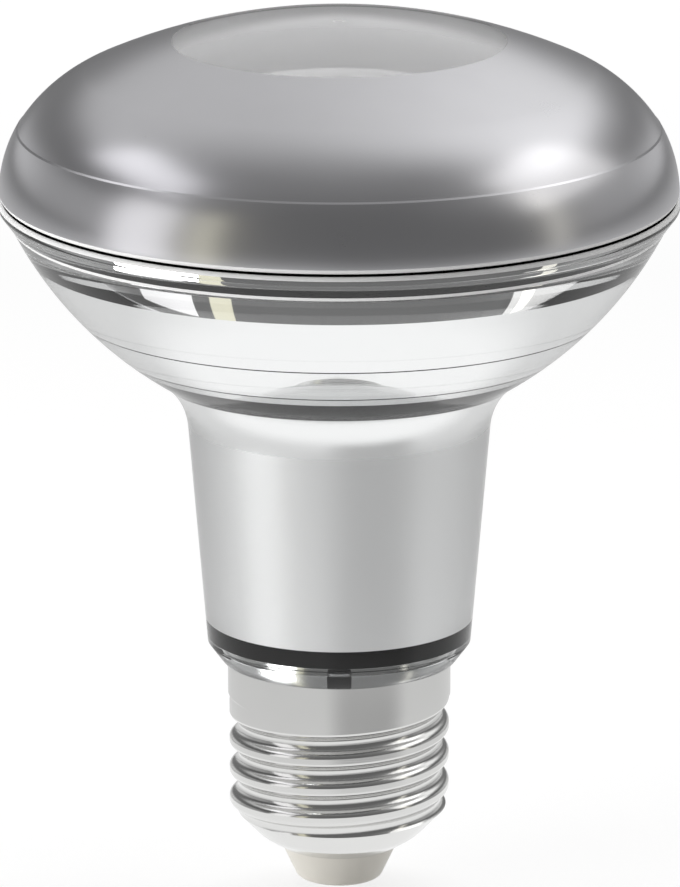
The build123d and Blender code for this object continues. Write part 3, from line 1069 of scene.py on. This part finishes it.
@dataclass
class GlassBulb(SubAssembly):
    """Clear glass body with its keyed foot, and the seal in its rim."""

    wall: float = 1.8
    foot_bore: float = 12.72
    foot_lip: float = 30.2
    foot_edge: float = 13.92
    foot_high: float = 30.8
    key_count: int = 4
    key_width: float = 2.4
    key_depth: float = 0.45
    ledge: float = 81.85
    upright_low: float = 78.55
    coat_low: float = 33.35
    ring_low: float = 63.65
    ring_top: float = 66.55
    silver_lines: tuple[float, float] = (71.8, 67.6)
    line_width: float = 0.16
    seat_radius: float = 37.1
    rim_radius: float = 40.0
    rim_low: float = 83.9
    rim_top: float = 84.8
    rim_ease: float = 0.45
    fold_ease: float = 0.25
    rebate_radius: float = 38.2
    rebate_low: float = 84.1
    seal_low: float = 84.15
    seal_top: float = 85.0
    seal_radius: float = 38.15

    @property
    def cone_top(self) -> float:
        """Height where the cone above the foot's bore meets the neck's inner wall."""
        return self.foot_lip + OUTLINE.radius(self.foot_lip, self.wall) - self.foot_bore

    def build(self) -> None:
        """Turns the glass and the seal and cuts the keyways."""
        glass = Lathe(self.foot_bore, OUTLINE.foot_height)
        glass.line(self.foot_bore + self.key_depth, OUTLINE.foot_height)
        glass.line(self.foot_edge, OUTLINE.foot_height).ease(PLAIN_EDGE)
        OUTLINE.trace(glass, 0.0, self.foot_high, OUTLINE.edge_height).ease(self.fold_ease)
        glass.line(self.rim_radius, self.rim_low).ease(PLAIN_EDGE)
        glass.line(self.rim_radius, self.rim_top).ease(self.rim_ease)
        glass.line(self.rebate_radius, self.rim_top).ease(FINE_EDGE)
        glass.line(self.rebate_radius, self.rebate_low)
        glass.line(self.seat_radius, self.rebate_low).ease(FINE_EDGE)
        glass.line(self.seat_radius, self.ledge)
        glass.line(OUTLINE.radius(self.upright_low, self.wall), self.ledge)
        stops = [self.upright_low, self.ring_top, self.ring_low, self.coat_low]
        for line in self.silver_lines:
            stops += [line, line - self.line_width]
        stops.sort(reverse=True)
        for start, end in zip(stops, stops[1:]):
            OUTLINE.trace(glass, self.wall, start, end)
        glass.line(OUTLINE.radius(self.cone_top, self.wall), self.cone_top)
        glass.line(self.foot_bore, self.foot_lip).close()
        mesh = self.cut_keyways(glass.turn())
        self.mark_coats(mesh)
        self.keep("glass_envelope", mesh, "glass_body")
        seal = Lathe(self.seat_radius, self.seal_low)
        seal.line(self.seal_radius, self.seal_low).ease(SMALL_EDGE)
        seal.line(self.seal_radius, self.seal_top).ease(PLAIN_EDGE)
        seal.line(self.seat_radius, self.seal_top).ease(PLAIN_EDGE).close()
        self.keep("seal_bead", seal.turn(), "rim_seal")

    def cut_keyways(self, mesh: bmesh.types.BMesh) -> bmesh.types.BMesh:
        """Sinks the keyways into the foot's bore.

        Args:
            mesh: Turned glass in millimetres.

        Returns:
            The same mesh.
        """
        reach = math.asin(self.key_width / 2 / self.foot_bore)
        spacing = math.tau / self.key_count
        sunk = []
        for face in mesh.faces:
            centre = face.calc_center_median()
            turned = (math.atan2(centre.y, centre.x) + spacing / 2) % spacing - spacing / 2
            inside = centre.xy.length < self.foot_bore + self.key_depth and centre.z < self.foot_lip
            if inside and abs(turned) < reach:
                sunk.append(face)
        # The keyways are coated black: painted shade in the recesses.
        for face in sunk:
            face.material_index = GlassCoat.BLACK
        grown = bmesh.ops.extrude_face_region(mesh, geom=sunk)["geom"]
        bmesh.ops.delete(mesh, geom=sunk, context="FACES")
        share = (self.foot_bore + self.key_depth) / self.foot_bore
        corners = [part for part in grown if isinstance(part, bmesh.types.BMVert)]
        bore = [corner for corner in corners if corner.co.xy.length < self.foot_bore + NEAR]
        bmesh.ops.scale(mesh, vec=(share, share, 1.0), verts=bore)
        bmesh.ops.remove_doubles(mesh, verts=mesh.verts[:], dist=MERGE)
        bmesh.ops.dissolve_degenerate(mesh, edges=mesh.edges[:], dist=MERGE)
        bmesh.ops.recalc_face_normals(mesh, faces=mesh.faces[:])
        return mesh

    def mark_coats(self, mesh: bmesh.types.BMesh) -> None:
        """Silvers the inner wall, blackens the bands where the gasket and the retainer bear and two thin
        lines, paints shade in black on the rim's top face and paints a white highlight on the rim's edges.

        Args:
            mesh: Turned glass in millimetres.
        """
        for face in mesh.faces:
            middle = face.calc_center_median()
            inner = middle.xy.length < OUTLINE.radius(middle.z, self.wall / 2)
            if middle.z > self.rim_top - MERGE:
                # The rim's top face is coated black: painted shade of the seam under the lens.
                face.material_index = GlassCoat.BLACK
            elif inner and middle.z > self.cone_top:
                # Black bands where the gasket and the retainer bear are those black parts behind the glass,
                # darkened further as painted shade; two thin black lines cross the silvering.
                black = middle.z < self.coat_low or self.ring_low < middle.z < self.ring_top
                lined = any(line - self.line_width < middle.z < line for line in self.silver_lines)
                face.material_index = GlassCoat.BLACK if black or lined else GlassCoat.SILVER
            elif not inner:
                # The rim's rounded top edge and the fold below it are coated white: a painted highlight.
                rim = middle.z > self.rim_top - self.rim_ease
                fold = abs(middle.z - OUTLINE.edge_height) < self.fold_ease
                if rim or fold:
                    face.material_index = GlassCoat.GROUND

    def dress(self) -> None:
        """Finishes the coats of the body, and the seal."""
        self.coat(self.pieces["glass_envelope"], CLEAR_GLASS, INNER_SILVER, BLACK_COAT_AND_PAINTED_SHADE, PAINTED_HIGHLIGHT_EDGE)
        self.coat(self.pieces["seal_bead"], BLACK_RUBBER)


@dataclass
class FrontLens(SubAssembly):
    """Domed front: crown, shoulder, ridge line, side band and skirt."""

    wall: float = 2.0
    edge_radius: float = 39.85
    edge_height: float = 85.05
    skirt_radius: float = 36.9
    skirt_wall: float = 1.0
    skirt_low: float = 82.45
    shelf: float = 0.7
    band_curve: float = 15.2
    ridge_inset: float = 2.1
    ridge_ledge: float = 0.2
    ridge_angle: float = math.radians(8.0)
    lip: float = 0.6
    lip_slope: float = 0.9
    under_slope: float = 0.05
    rib_top: float = 88.2
    rib_depth: float = 0.5
    shoulder_curve: float = 18.0
    shoulder_angle: float = math.radians(56.7)
    crown_curve: float = 72.0
    gate_radius: float = 1.1
    gate_height: float = 0.35

    def build(self) -> None:
        """Turns the lens from the crown out to the skirt and back under."""
        band = Vector((self.edge_radius - self.band_curve, self.edge_height))
        rise = math.sqrt(self.band_curve**2 - (self.band_curve - self.ridge_inset) ** 2)
        ridge = band + Vector((self.band_curve - self.ridge_inset, rise))
        shoulder_out = Vector((math.sin(self.shoulder_angle), math.cos(self.shoulder_angle)))
        shoulder_end = ridge + Vector((-self.ridge_ledge, self.ridge_ledge))
        shoulder = shoulder_end - shoulder_out * self.shoulder_curve
        lean = math.asin(shoulder.x / (self.crown_curve - self.shoulder_curve))
        crown_out = Vector((math.sin(lean), math.cos(lean)))
        crown = shoulder - crown_out * (self.crown_curve - self.shoulder_curve)
        under = crown.y + self.crown_curve - self.wall
        gate_slope = self.gate_radius / 2 / (self.wall / 2 + self.gate_height)
        gate_top = self.gate_radius / 2 + gate_slope * self.gate_height
        shelf_top = self.edge_height + self.shelf
        inner_curve = self.band_curve - self.wall
        rib_curve = inner_curve - self.rib_depth
        rib_rise = self.rib_top - band.y
        lip = band + Vector((math.sqrt(self.band_curve**2 - self.lip**2) - self.lip, self.lip))

        lens = Lathe(0.0, crown.y + self.crown_curve)
        lens.arc(tuple(crown), *(crown + crown_out * self.crown_curve))
        lens.arc(tuple(shoulder), *shoulder_end).line(*ridge)
        lens.arc(tuple(band), lip.x + self.lip, lip.y).arc(tuple(lip), lip.x, self.edge_height)
        lens.line(self.skirt_radius, self.edge_height)
        lens.line(self.skirt_radius, self.skirt_low).ease(SMALL_EDGE)
        lens.line(self.skirt_radius - self.skirt_wall, self.skirt_low).ease(SMALL_EDGE)
        lens.line(self.skirt_radius - self.skirt_wall, shelf_top)
        lens.line(band.x + math.sqrt(rib_curve**2 - self.shelf**2), shelf_top)
        lens.arc(tuple(band), band.x + math.sqrt(rib_curve**2 - rib_rise**2), self.rib_top)
        lens.line(band.x + math.sqrt(inner_curve**2 - rib_rise**2), self.rib_top)
        lens.arc(tuple(band), *(band + (ridge - band).normalized() * inner_curve))
        lens.line(*(shoulder + shoulder_out * (self.shoulder_curve - self.wall)))
        lens.arc(tuple(shoulder), *(crown + crown_out * (self.crown_curve - self.wall)))
        under_curve = self.crown_curve - self.wall
        lens.arc(tuple(crown), gate_top, crown.y + math.sqrt(under_curve**2 - gate_top**2))
        lens.line(self.gate_radius / 2, under - self.gate_height).ease(FINE_EDGE)
        lens.line(0.0, under - self.gate_height)
        mesh = lens.turn()
        for face in mesh.faces:
            outward = face.normal.xy.dot(face.calc_center_median().xy)
            # Outward faces of the lip that face down are coated white: a painted highlight.
            if outward > 0.0 and -self.lip_slope < face.normal.z < -self.under_slope:
                face.material_index = LensCoat.GROUND
            elif face.normal.z < -self.under_slope or outward < 0.0:
                face.material_index = LensCoat.LINING
        self.keep("domed_lens", mesh, "front_lens", self.ridge_angle)

    def dress(self) -> None:
        """Silvers the lens, satin outside and bright inside, with a hazy window and a white painted highlight
        on the lip.
        """
        self.coat(self.pieces["domed_lens"], LENS_SILVER, LENS_LINING, PAINTED_HIGHLIGHT_EDGE)


@dataclass
class MirrorCup(SubAssembly):
    """Bright reflector between the light source and the lens."""

    inset: float = 2.0
    wall: float = 0.5
    low: float = 66.6
    collar_low: float = 78.55
    brim_low: float = 81.9
    brim_radius: float = 36.9

    def build(self) -> None:
        """Turns the cup with its collar and brim."""
        outer = OUTLINE.radius(self.collar_low, self.inset)
        inner = OUTLINE.radius(self.collar_low, self.inset + self.wall)
        brim_top = self.brim_low + self.wall
        cup = Lathe(OUTLINE.radius(self.low, self.inset + self.wall), self.low)
        OUTLINE.trace(cup, self.inset, self.low, self.collar_low)
        cup.line(outer, self.brim_low).line(self.brim_radius, self.brim_low)
        cup.line(self.brim_radius, brim_top).line(inner, brim_top).ease(PLAIN_EDGE)
        OUTLINE.trace(cup, self.inset + self.wall, self.collar_low, self.low)
        self.keep("mirror_reflector", cup.turn(), "reflector")

    def dress(self) -> None:
        """Coats the cup."""
        self.coat(self.pieces["mirror_reflector"], MIRROR)


@dataclass
class LightSource(SubAssembly):
    """Heat sink with its plate, and the board, packages, retainer and screws on it."""

    inset: float = 2.0
    sink_wall: float = 1.0
    sink_low: float = 33.35
    sink_top: float = 63.6
    plate_low: float = 59.0
    plate_top: float = 60.6
    seat: float = 0.05
    fit: float = 0.2
    board_radius: float = 11.2
    board_top: float = 61.85
    lead_places: tuple[Point, ...] = ((-7.0, 1.05), (7.0, 1.05))
    lead_hole: float = 0.8
    screw_count: int = 3
    screw_radius: float = 1.0
    screw_head: float = 1.5
    screw_head_height: float = 1.0
    screw_length: float = 3.0
    retainer_low: float = 60.65
    retainer_top: float = 66.55
    retainer_rim: float = 0.9
    lip_reach: float = 1.0
    lip_low: float = 61.9
    lip_top: float = 62.6
    socket_inset: float = 0.8
    socket_draft: float = 0.02
    socket_depth: float = 0.5
    drill_past: float = 1.0
    led_size: float = 2.8
    led_height: float = 0.7
    led_corner: float = 0.25
    led_frame: float = 0.3
    fill_draft: float = 0.08
    fill_depth: float = 0.1
    led_rings: tuple[tuple[float, int, float], ...] = ((6.2, 8, 22.5), (2.4, 3, 90.0))

    @property
    def screw_places(self) -> list[Point]:
        """Centres of the screws.

        Returns:
            The place of each screw across the axis.
        """
        circle = (self.board_radius + OUTLINE.radius(self.plate_top, self.inset + self.sink_wall)) / 2
        turns = (math.pi / 2 + math.tau * index / self.screw_count for index in range(self.screw_count))
        return [(circle * math.cos(turn), circle * math.sin(turn)) for turn in turns]

    def build(self) -> None:
        """Makes the heat sink, the retainer, the packages and the screws."""
        self.build_sink()
        self.build_retainer()
        self.build_packages()
        self.build_screws()

    def build_sink(self) -> None:
        """Turns the sleeve with its plate and drills the plate."""
        deep = self.inset + self.sink_wall
        sink = Lathe(0.0, self.plate_top)
        OUTLINE.trace(sink, deep, self.plate_top, self.sink_top)
        OUTLINE.trace(sink, self.inset, self.sink_top, self.sink_low)
        OUTLINE.trace(sink, deep, self.sink_low, self.plate_low)
        sink.line(0.0, self.plate_low)
        piece = self.keep("sink_sleeve", sink.turn(), "heat_sink")
        low, high = self.plate_low - self.drill_past, self.plate_top + self.drill_past
        self.drill(piece, self.screw_places, self.screw_radius + self.seat, low, high)
        self.drill(piece, self.lead_places, self.lead_hole, low, high)

    def build_retainer(self) -> None:
        """Turns the retainer and sinks its screw holes."""
        foot = OUTLINE.radius(self.plate_top, self.inset + self.sink_wall) - self.fit
        band_low = self.sink_top + self.seat
        bore = self.board_radius + self.fit
        lip = self.board_radius - self.lip_reach
        ring = Lathe(bore, self.retainer_low).line(foot, self.retainer_low).line(foot, band_low)
        OUTLINE.trace(ring, self.inset, band_low, self.retainer_top).ease(PLAIN_EDGE)
        ring.line(ring.pen.co.x - self.retainer_rim, self.retainer_top).ease(PLAIN_EDGE)
        ring.line(lip, self.lip_top).ease(PLAIN_EDGE).line(lip, self.lip_low).line(bore, self.lip_low).close()
        piece = self.keep("retainer_ring", ring.turn(), "led_retainer")
        low, high = self.retainer_low - self.drill_past, self.retainer_top + self.drill_past
        self.drill(piece, self.screw_places, self.screw_head + self.fit, self.lip_top, high)
        shank = self.screw_radius + self.fit
        self.drill(piece, self.screw_places, shank, low, self.lip_top + self.drill_past)

    def build_packages(self) -> None:
        """Makes the packages: a bevelled body with a sunken fill."""
        mesh = bmesh.new()
        half = self.led_height / 2
        middle = self.board_top + self.seat + half
        size = Matrix.Diagonal((self.led_size, self.led_size, self.led_height, 1.0))
        for circle, count, start in self.led_rings:
            for index in range(count):
                turn = Matrix.Rotation(math.radians(start) + math.tau * index / count, 4, "Z")
                place = turn @ Matrix.Translation((circle, 0, middle))
                cube = bmesh.ops.create_cube(mesh, size=1.0, matrix=place @ size)["verts"]
                edges = {edge for corner in cube for edge in corner.link_edges}
                upright = [edge for edge in edges if abs((edge.verts[0].co - edge.verts[1].co).z) > half]
                round_off(mesh, upright, self.led_corner, Rounded.EDGES, CORNER_STEPS)
        mesh.faces.ensure_lookup_table()
        tops = [face for face in mesh.faces if face.normal.z > UP_FACING]
        bmesh.ops.inset_individual(mesh, faces=tops, thickness=self.led_frame, depth=0.0)
        for face in tops:
            face.material_index = PackageCoat.FILL
        bmesh.ops.inset_individual(mesh, faces=tops, thickness=self.fill_draft, depth=-self.fill_depth)
        self.keep("led_emitters", mesh, "led_packages")

    def build_screws(self) -> None:
        """Makes the screws with a flat round head and a blind round socket."""
        mesh = bmesh.new()
        head_low = self.lip_top + self.seat
        head_top = head_low + self.screw_head_height
        for place in self.screw_places:
            add_rod(mesh, place, self.screw_radius, head_low - self.screw_length, head_low, SCREW_STEPS)
            head = add_rod(mesh, place, self.screw_head, head_low, head_top, SCREW_STEPS)
            faces = {face for corner in head for face in corner.link_faces}
            top = max(faces, key=lambda face: face.calc_center_median().z)
            bmesh.ops.inset_region(mesh, faces=[top], thickness=self.socket_inset, depth=0.0)
            bmesh.ops.inset_region(mesh, faces=[top], thickness=self.socket_draft, depth=-self.socket_depth)
        self.keep("clamp_screws", mesh, "retainer_screws")

    def dress(self) -> None:
        """Finishes the metal, the plastic, the board and the packages."""
        self.coat(self.pieces["sink_sleeve"], SATIN_SLEEVE)
        self.coat(self.pieces["retainer_ring"], BLACK_PLASTIC)
        self.coat(self.pieces["led_emitters"], LED_BODY, PHOSPHOR)
        self.coat(self.pieces["clamp_screws"], ZINC)
        self.coat("led_board", WHITE_BOARD)


@dataclass
class DriverBase(SubAssembly):
    """Carrier in the foot, its gasket and the driver inside."""

    gasket_low: float = 31.9
    gasket_top: float = 33.3
    gasket_bore: float = 12.37
    gasket_radius: float = 13.697

    def build(self) -> None:
        """Turns the gasket."""
        gasket = Lathe(self.gasket_bore, self.gasket_low)
        gasket.line(self.gasket_radius, self.gasket_low).ease(SMALL_EDGE)
        gasket.line(self.gasket_radius, self.gasket_top).ease(SMALL_EDGE)
        gasket.line(self.gasket_bore, self.gasket_top).close()
        self.keep("gasket_ring", gasket.turn(), "foot_gasket")

    def dress(self) -> None:
        """Finishes the gasket, the carrier and the driver's parts."""
        self.coat(self.pieces["gasket_ring"], BLACK_RUBBER)
        self.coat("base_carrier", PLATED)
        self.coat("driver_board", GREEN_BOARD)
        self.coat("smoothing_capacitor", SHRINK_SLEEVE)
        self.coat("film_capacitor", DIPPED_RESIN)
        for node in ("transformer", "rectifier", "control_chip"):
            self.coat(node, EPOXY)
        self.coat("fuse_resistor", LACQUER)
        for node in ("led_leads", "live_lead", "neutral_lead"):
            self.coat(node, WIRE)


@dataclass(frozen=True)
class StudioFloor(Finish):
    """White floor that keeps a soft shadow, and is dimmer in places where metal and glass mirror it."""

    colour: Colour = (0.85, 0.85, 0.85)
    grain_size: float = 40.0
    grain_tint: float = 0.01
    white: float = 1.1
    white_rise: float = 0.0004
    share: float = 0.7
    fade: float = 700.0
    pool: float = 0.25
    pool_near: float = 45.0
    pool_far: float = 85.0
    gap_azimuth: float = math.radians(28.0)
    gap_side: float = 0.72
    gap_core: float = 0.97
    gap_near: float = 55.0
    gap_far: float = 80.0
    gap_depth: float = 0.47
    gap_end: float = 120.0
    gap_rest: float = 0.5

    def paint(self, sheet: NodeSheet) -> Signal:
        """Adds lit white that glows for the camera, and by its place for metal and glass.

        Args:
            sheet: Sheet of the material.

        Returns:
            The finish's shader.
        """
        rays = sheet.node("ShaderNodeLightPath", {}, {})
        camera = Signal(sheet, rays.outputs["Is Camera Ray"])
        glossy = Signal(sheet, rays.outputs["Is Glossy Ray"])
        mirrored = glossy.most(Signal(sheet, rays.outputs["Is Transmission Ray"]))
        about = sheet.axis_place()
        grain = sheet.noise(sheet.place(), self.grain_size)
        across = math.sin(self.gap_azimuth) * about.x
        toward = (across - math.cos(self.gap_azimuth) * about.y) / about.radius
        gap = toward.step(self.gap_side, self.gap_core) * about.radius.step(self.gap_near, self.gap_far)
        gap = gap * (1.0 - (1.0 - self.gap_rest) * about.radius.step(self.gap_far, self.gap_end))
        pool = self.pool * about.radius.step(self.pool_far, self.pool_near)
        open_floor = (1.0 - self.pool) * (1.0 - self.gap_depth * gap)
        level = pool + open_floor / (1.0 + (about.radius / self.fade) ** 2.0)
        shade = sheet.blend(grain, tone(self.colour, 1.0 - self.grain_tint), self.colour)
        lit = sheet.node("ShaderNodeBsdfDiffuse", {}, {"Color": shade}, 0)
        white = self.white + self.white_rise * about.radius
        glow = sheet.node("ShaderNodeEmission", {}, {"Strength": white * camera + mirrored * level}, 0)
        return sheet.mix(self.share * camera + mirrored, lit, glow)


@dataclass(frozen=True)
class Fade:
    """A strength that rises smoothly between two values of a signal."""

    strength: float
    start: float
    end: float

    def along(self, signal: Signal) -> Signal:
        """Strength at a signal's value."""
        return self.strength * signal.step(self.start, self.end)


@dataclass(frozen=True)
class StudioSky:
    """Sky of a ceiling panel over dim walls, with a dark slit along each side of the panel.

    In a direction, x points to the right of the picture, y away from the camera and z up.
    """

    ceiling_front: float = 0.22
    ceiling_back: Fade = Fade(0.39, -0.25, 0.55)
    ceiling_top: Fade = Fade(0.11, 0.9, 1.0)
    ceiling_right: Fade = Fade(0.53, -0.2, 0.6)
    right_depth: Fade = Fade(1.0, -0.3, 0.3)
    panel_slope: float = 0.6
    panel_side: Fade = Fade(1.0, -0.02, 0.1)
    panel_front: Fade = Fade(1.0, -0.75, -0.35)
    panel_crown: Fade = Fade(1.0, 0.7, 0.85)
    wall_front: float = 0.15
    wall_side: Fade = Fade(0.22, -0.3, 0.2)
    wall_back: Fade = Fade(0.35, 0.4, 0.9)
    slit_band: Fade = Fade(0.74, 0.0625, 0.002)
    slit_depth: Fade = Fade(1.0, -0.4, -0.1)

    def level(self, x: Signal, y: Signal, z: Signal) -> Signal:
        """Brightness of the sky.

        Args:
            x: Part of the direction to the right.
            y: Part of the direction away from the camera.
            z: Part of the direction upwards.

        Returns:
            The brightness in that direction.
        """
        above = z - self.panel_slope * (x * x) ** 0.5
        ceiling = self.ceiling_front + self.ceiling_back.along(y) + self.ceiling_top.along(z)
        ceiling = ceiling + self.ceiling_right.along(x) * self.right_depth.along(y)
        wall = self.wall_front + self.wall_side.along(y) + self.wall_back.along(y)
        panel = self.panel_side.along(above) * self.panel_front.along(y).most(self.panel_crown.along(z))
        slit = self.slit_band.along(above * above) * self.slit_depth.along(y)
        return (wall + (ceiling - wall) * panel) * (1.0 - slit)

    def build(self) -> None:
        """Makes the sky, which is white to the camera."""
        world = bpy.data.worlds.new("studio_sky")
        world.use_nodes = True
        sheet = NodeSheet(world.node_tree)
        way = sheet.node("ShaderNodeTexCoord", {}, {}, "Generated")
        parts = sheet.node("ShaderNodeSeparateXYZ", {}, {0: way})
        level = self.level(*(Signal(sheet, socket) for socket in parts.outputs))
        camera = sheet.node("ShaderNodeLightPath", {}, {}, "Is Camera Ray")
        seen = level + (1.0 - level) * camera
        sky = sheet.node("ShaderNodeBackground", {}, {"Color": (1, 1, 1, 1), "Strength": seen}, 0)
        sheet.node("ShaderNodeOutputWorld", {}, {"Surface": sky})
        bpy.context.scene.world = world


@dataclass(frozen=True)
class Softbox:
    """An upright rectangular lamp that faces the bulb's axis, in degrees and metres."""

    name: str
    azimuth: float
    distance: float
    width: float
    low: float
    high: float
    radiance: float
    colour: Colour
    mirrored: bool = True

    def build(self) -> None:
        """Adds the lamp, unseen by the camera."""
        turn = math.radians(self.azimuth)
        aim = Vector((math.sin(turn), -math.cos(turn), 0.0))
        lamp = bpy.data.lights.new(self.name, "AREA")
        lamp.shape = "RECTANGLE"
        lamp.size = self.width
        lamp.size_y = self.high - self.low
        lamp.energy = self.radiance * math.pi * lamp.size * lamp.size_y
        lamp.color = self.colour
        made = bpy.data.objects.new(self.name, lamp)
        made.location = aim * self.distance + Vector((0.0, 0.0, (self.low + self.high) / 2))
        made.rotation_euler = aim.to_track_quat("Z", "Y").to_euler()
        made.visible_camera = False
        made.visible_glossy = self.mirrored
        bpy.context.scene.collection.objects.link(made)
        LOG.info("lamp %s", self.name)


@dataclass
class Studio:
    """Floor, sky, lamps and camera, in metres."""

    target: Vector = field(default_factory=lambda: Vector((0.0, 0.0, 0.0546)))
    camera_place: Vector = field(default_factory=lambda: Vector((0.0, -0.955, 0.3155)))
    camera_side: float = 0.00009
    lens: float = 340.5
    sensor: float = 36.0
    view_end: float = 50.0
    floor_size: float = 6.0
    softboxes: tuple[Softbox, ...] = (
        Softbox("left_softbox", -67.0, 0.33, 0.14, 0.02, 0.26, 1.02, (1.0, 0.99, 1.0)),
        Softbox("left_warm_strip", -43.5, 0.33, 0.05, 0.01, 0.26, 0.75, (1.0, 0.96, 0.72)),
        Softbox("left_high_softbox", -88.0, 0.33, 0.315, 0.32, 0.515, 1.0, (0.98, 0.97, 1.0)),
        Softbox("right_softbox", 74.0, 0.33, 0.035, 0.05, 0.3, 0.85, (1.0, 0.97, 0.86)),
        Softbox("right_high_softbox", 91.5, 0.33, 0.3, 0.215, 0.51, 0.92, (1.0, 0.99, 0.98)),
        Softbox("left_fill", -65.0, 0.5, 0.3, 0.0, 0.2, 6.0, (1.0, 1.0, 1.0), False),
        Softbox("back_fill", 180.0, 0.3, 0.5, 0.35, 0.75, 4.5, (1.0, 1.0, 1.0), False),
    )

    def build(self) -> None:
        """Sets the whole studio up."""
        self.build_floor()
        StudioSky().build()
        for softbox in self.softboxes:
            softbox.build()
        self.build_camera()
        bpy.context.scene.view_settings.view_transform = "Standard"

    def build_floor(self) -> None:
        """Lays the floor under the contact."""
        mesh = bmesh.new()
        bmesh.ops.create_grid(mesh, x_segments=1, y_segments=1, size=self.floor_size)
        data = bpy.data.meshes.new("studio_floor")
        mesh.to_mesh(data)
        mesh.free()
        data.materials.append(StudioFloor("studio_floor").material())
        floor = bpy.data.objects.new("studio_floor", data)
        bpy.context.scene.collection.objects.link(floor)

    def build_camera(self) -> None:
        """Places the camera at the photograph's angle."""
        data = bpy.data.cameras.new("product_camera")
        data.lens = self.lens
        data.sensor_width = self.sensor
        data.clip_end = self.view_end
        camera = bpy.data.objects.new("product_camera", data)
        side = Vector((self.camera_side, 0.0, 0.0))
        camera.location = self.camera_place + side
        camera.rotation_euler = (self.camera_place - self.target).to_track_quat("Z", "Y").to_euler()
        bpy.context.scene.collection.objects.link(camera)
        bpy.context.scene.camera = camera


def main() -> None:
    """Builds and dresses the bulb from the cap up, then the studio."""
    logging.basicConfig(level=logging.INFO, format="%(name)s: %(message)s")
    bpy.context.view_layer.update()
    for assembly in (ScrewCap(), GlassBulb(), DriverBase(), LightSource(), MirrorCup(), FrontLens()):
        assembly.build()
        assembly.dress()
        LOG.info("%s has %d new pieces", type(assembly).__name__, len(assembly.pieces))
    Studio().build()


if __name__ == "__main__":
    main()
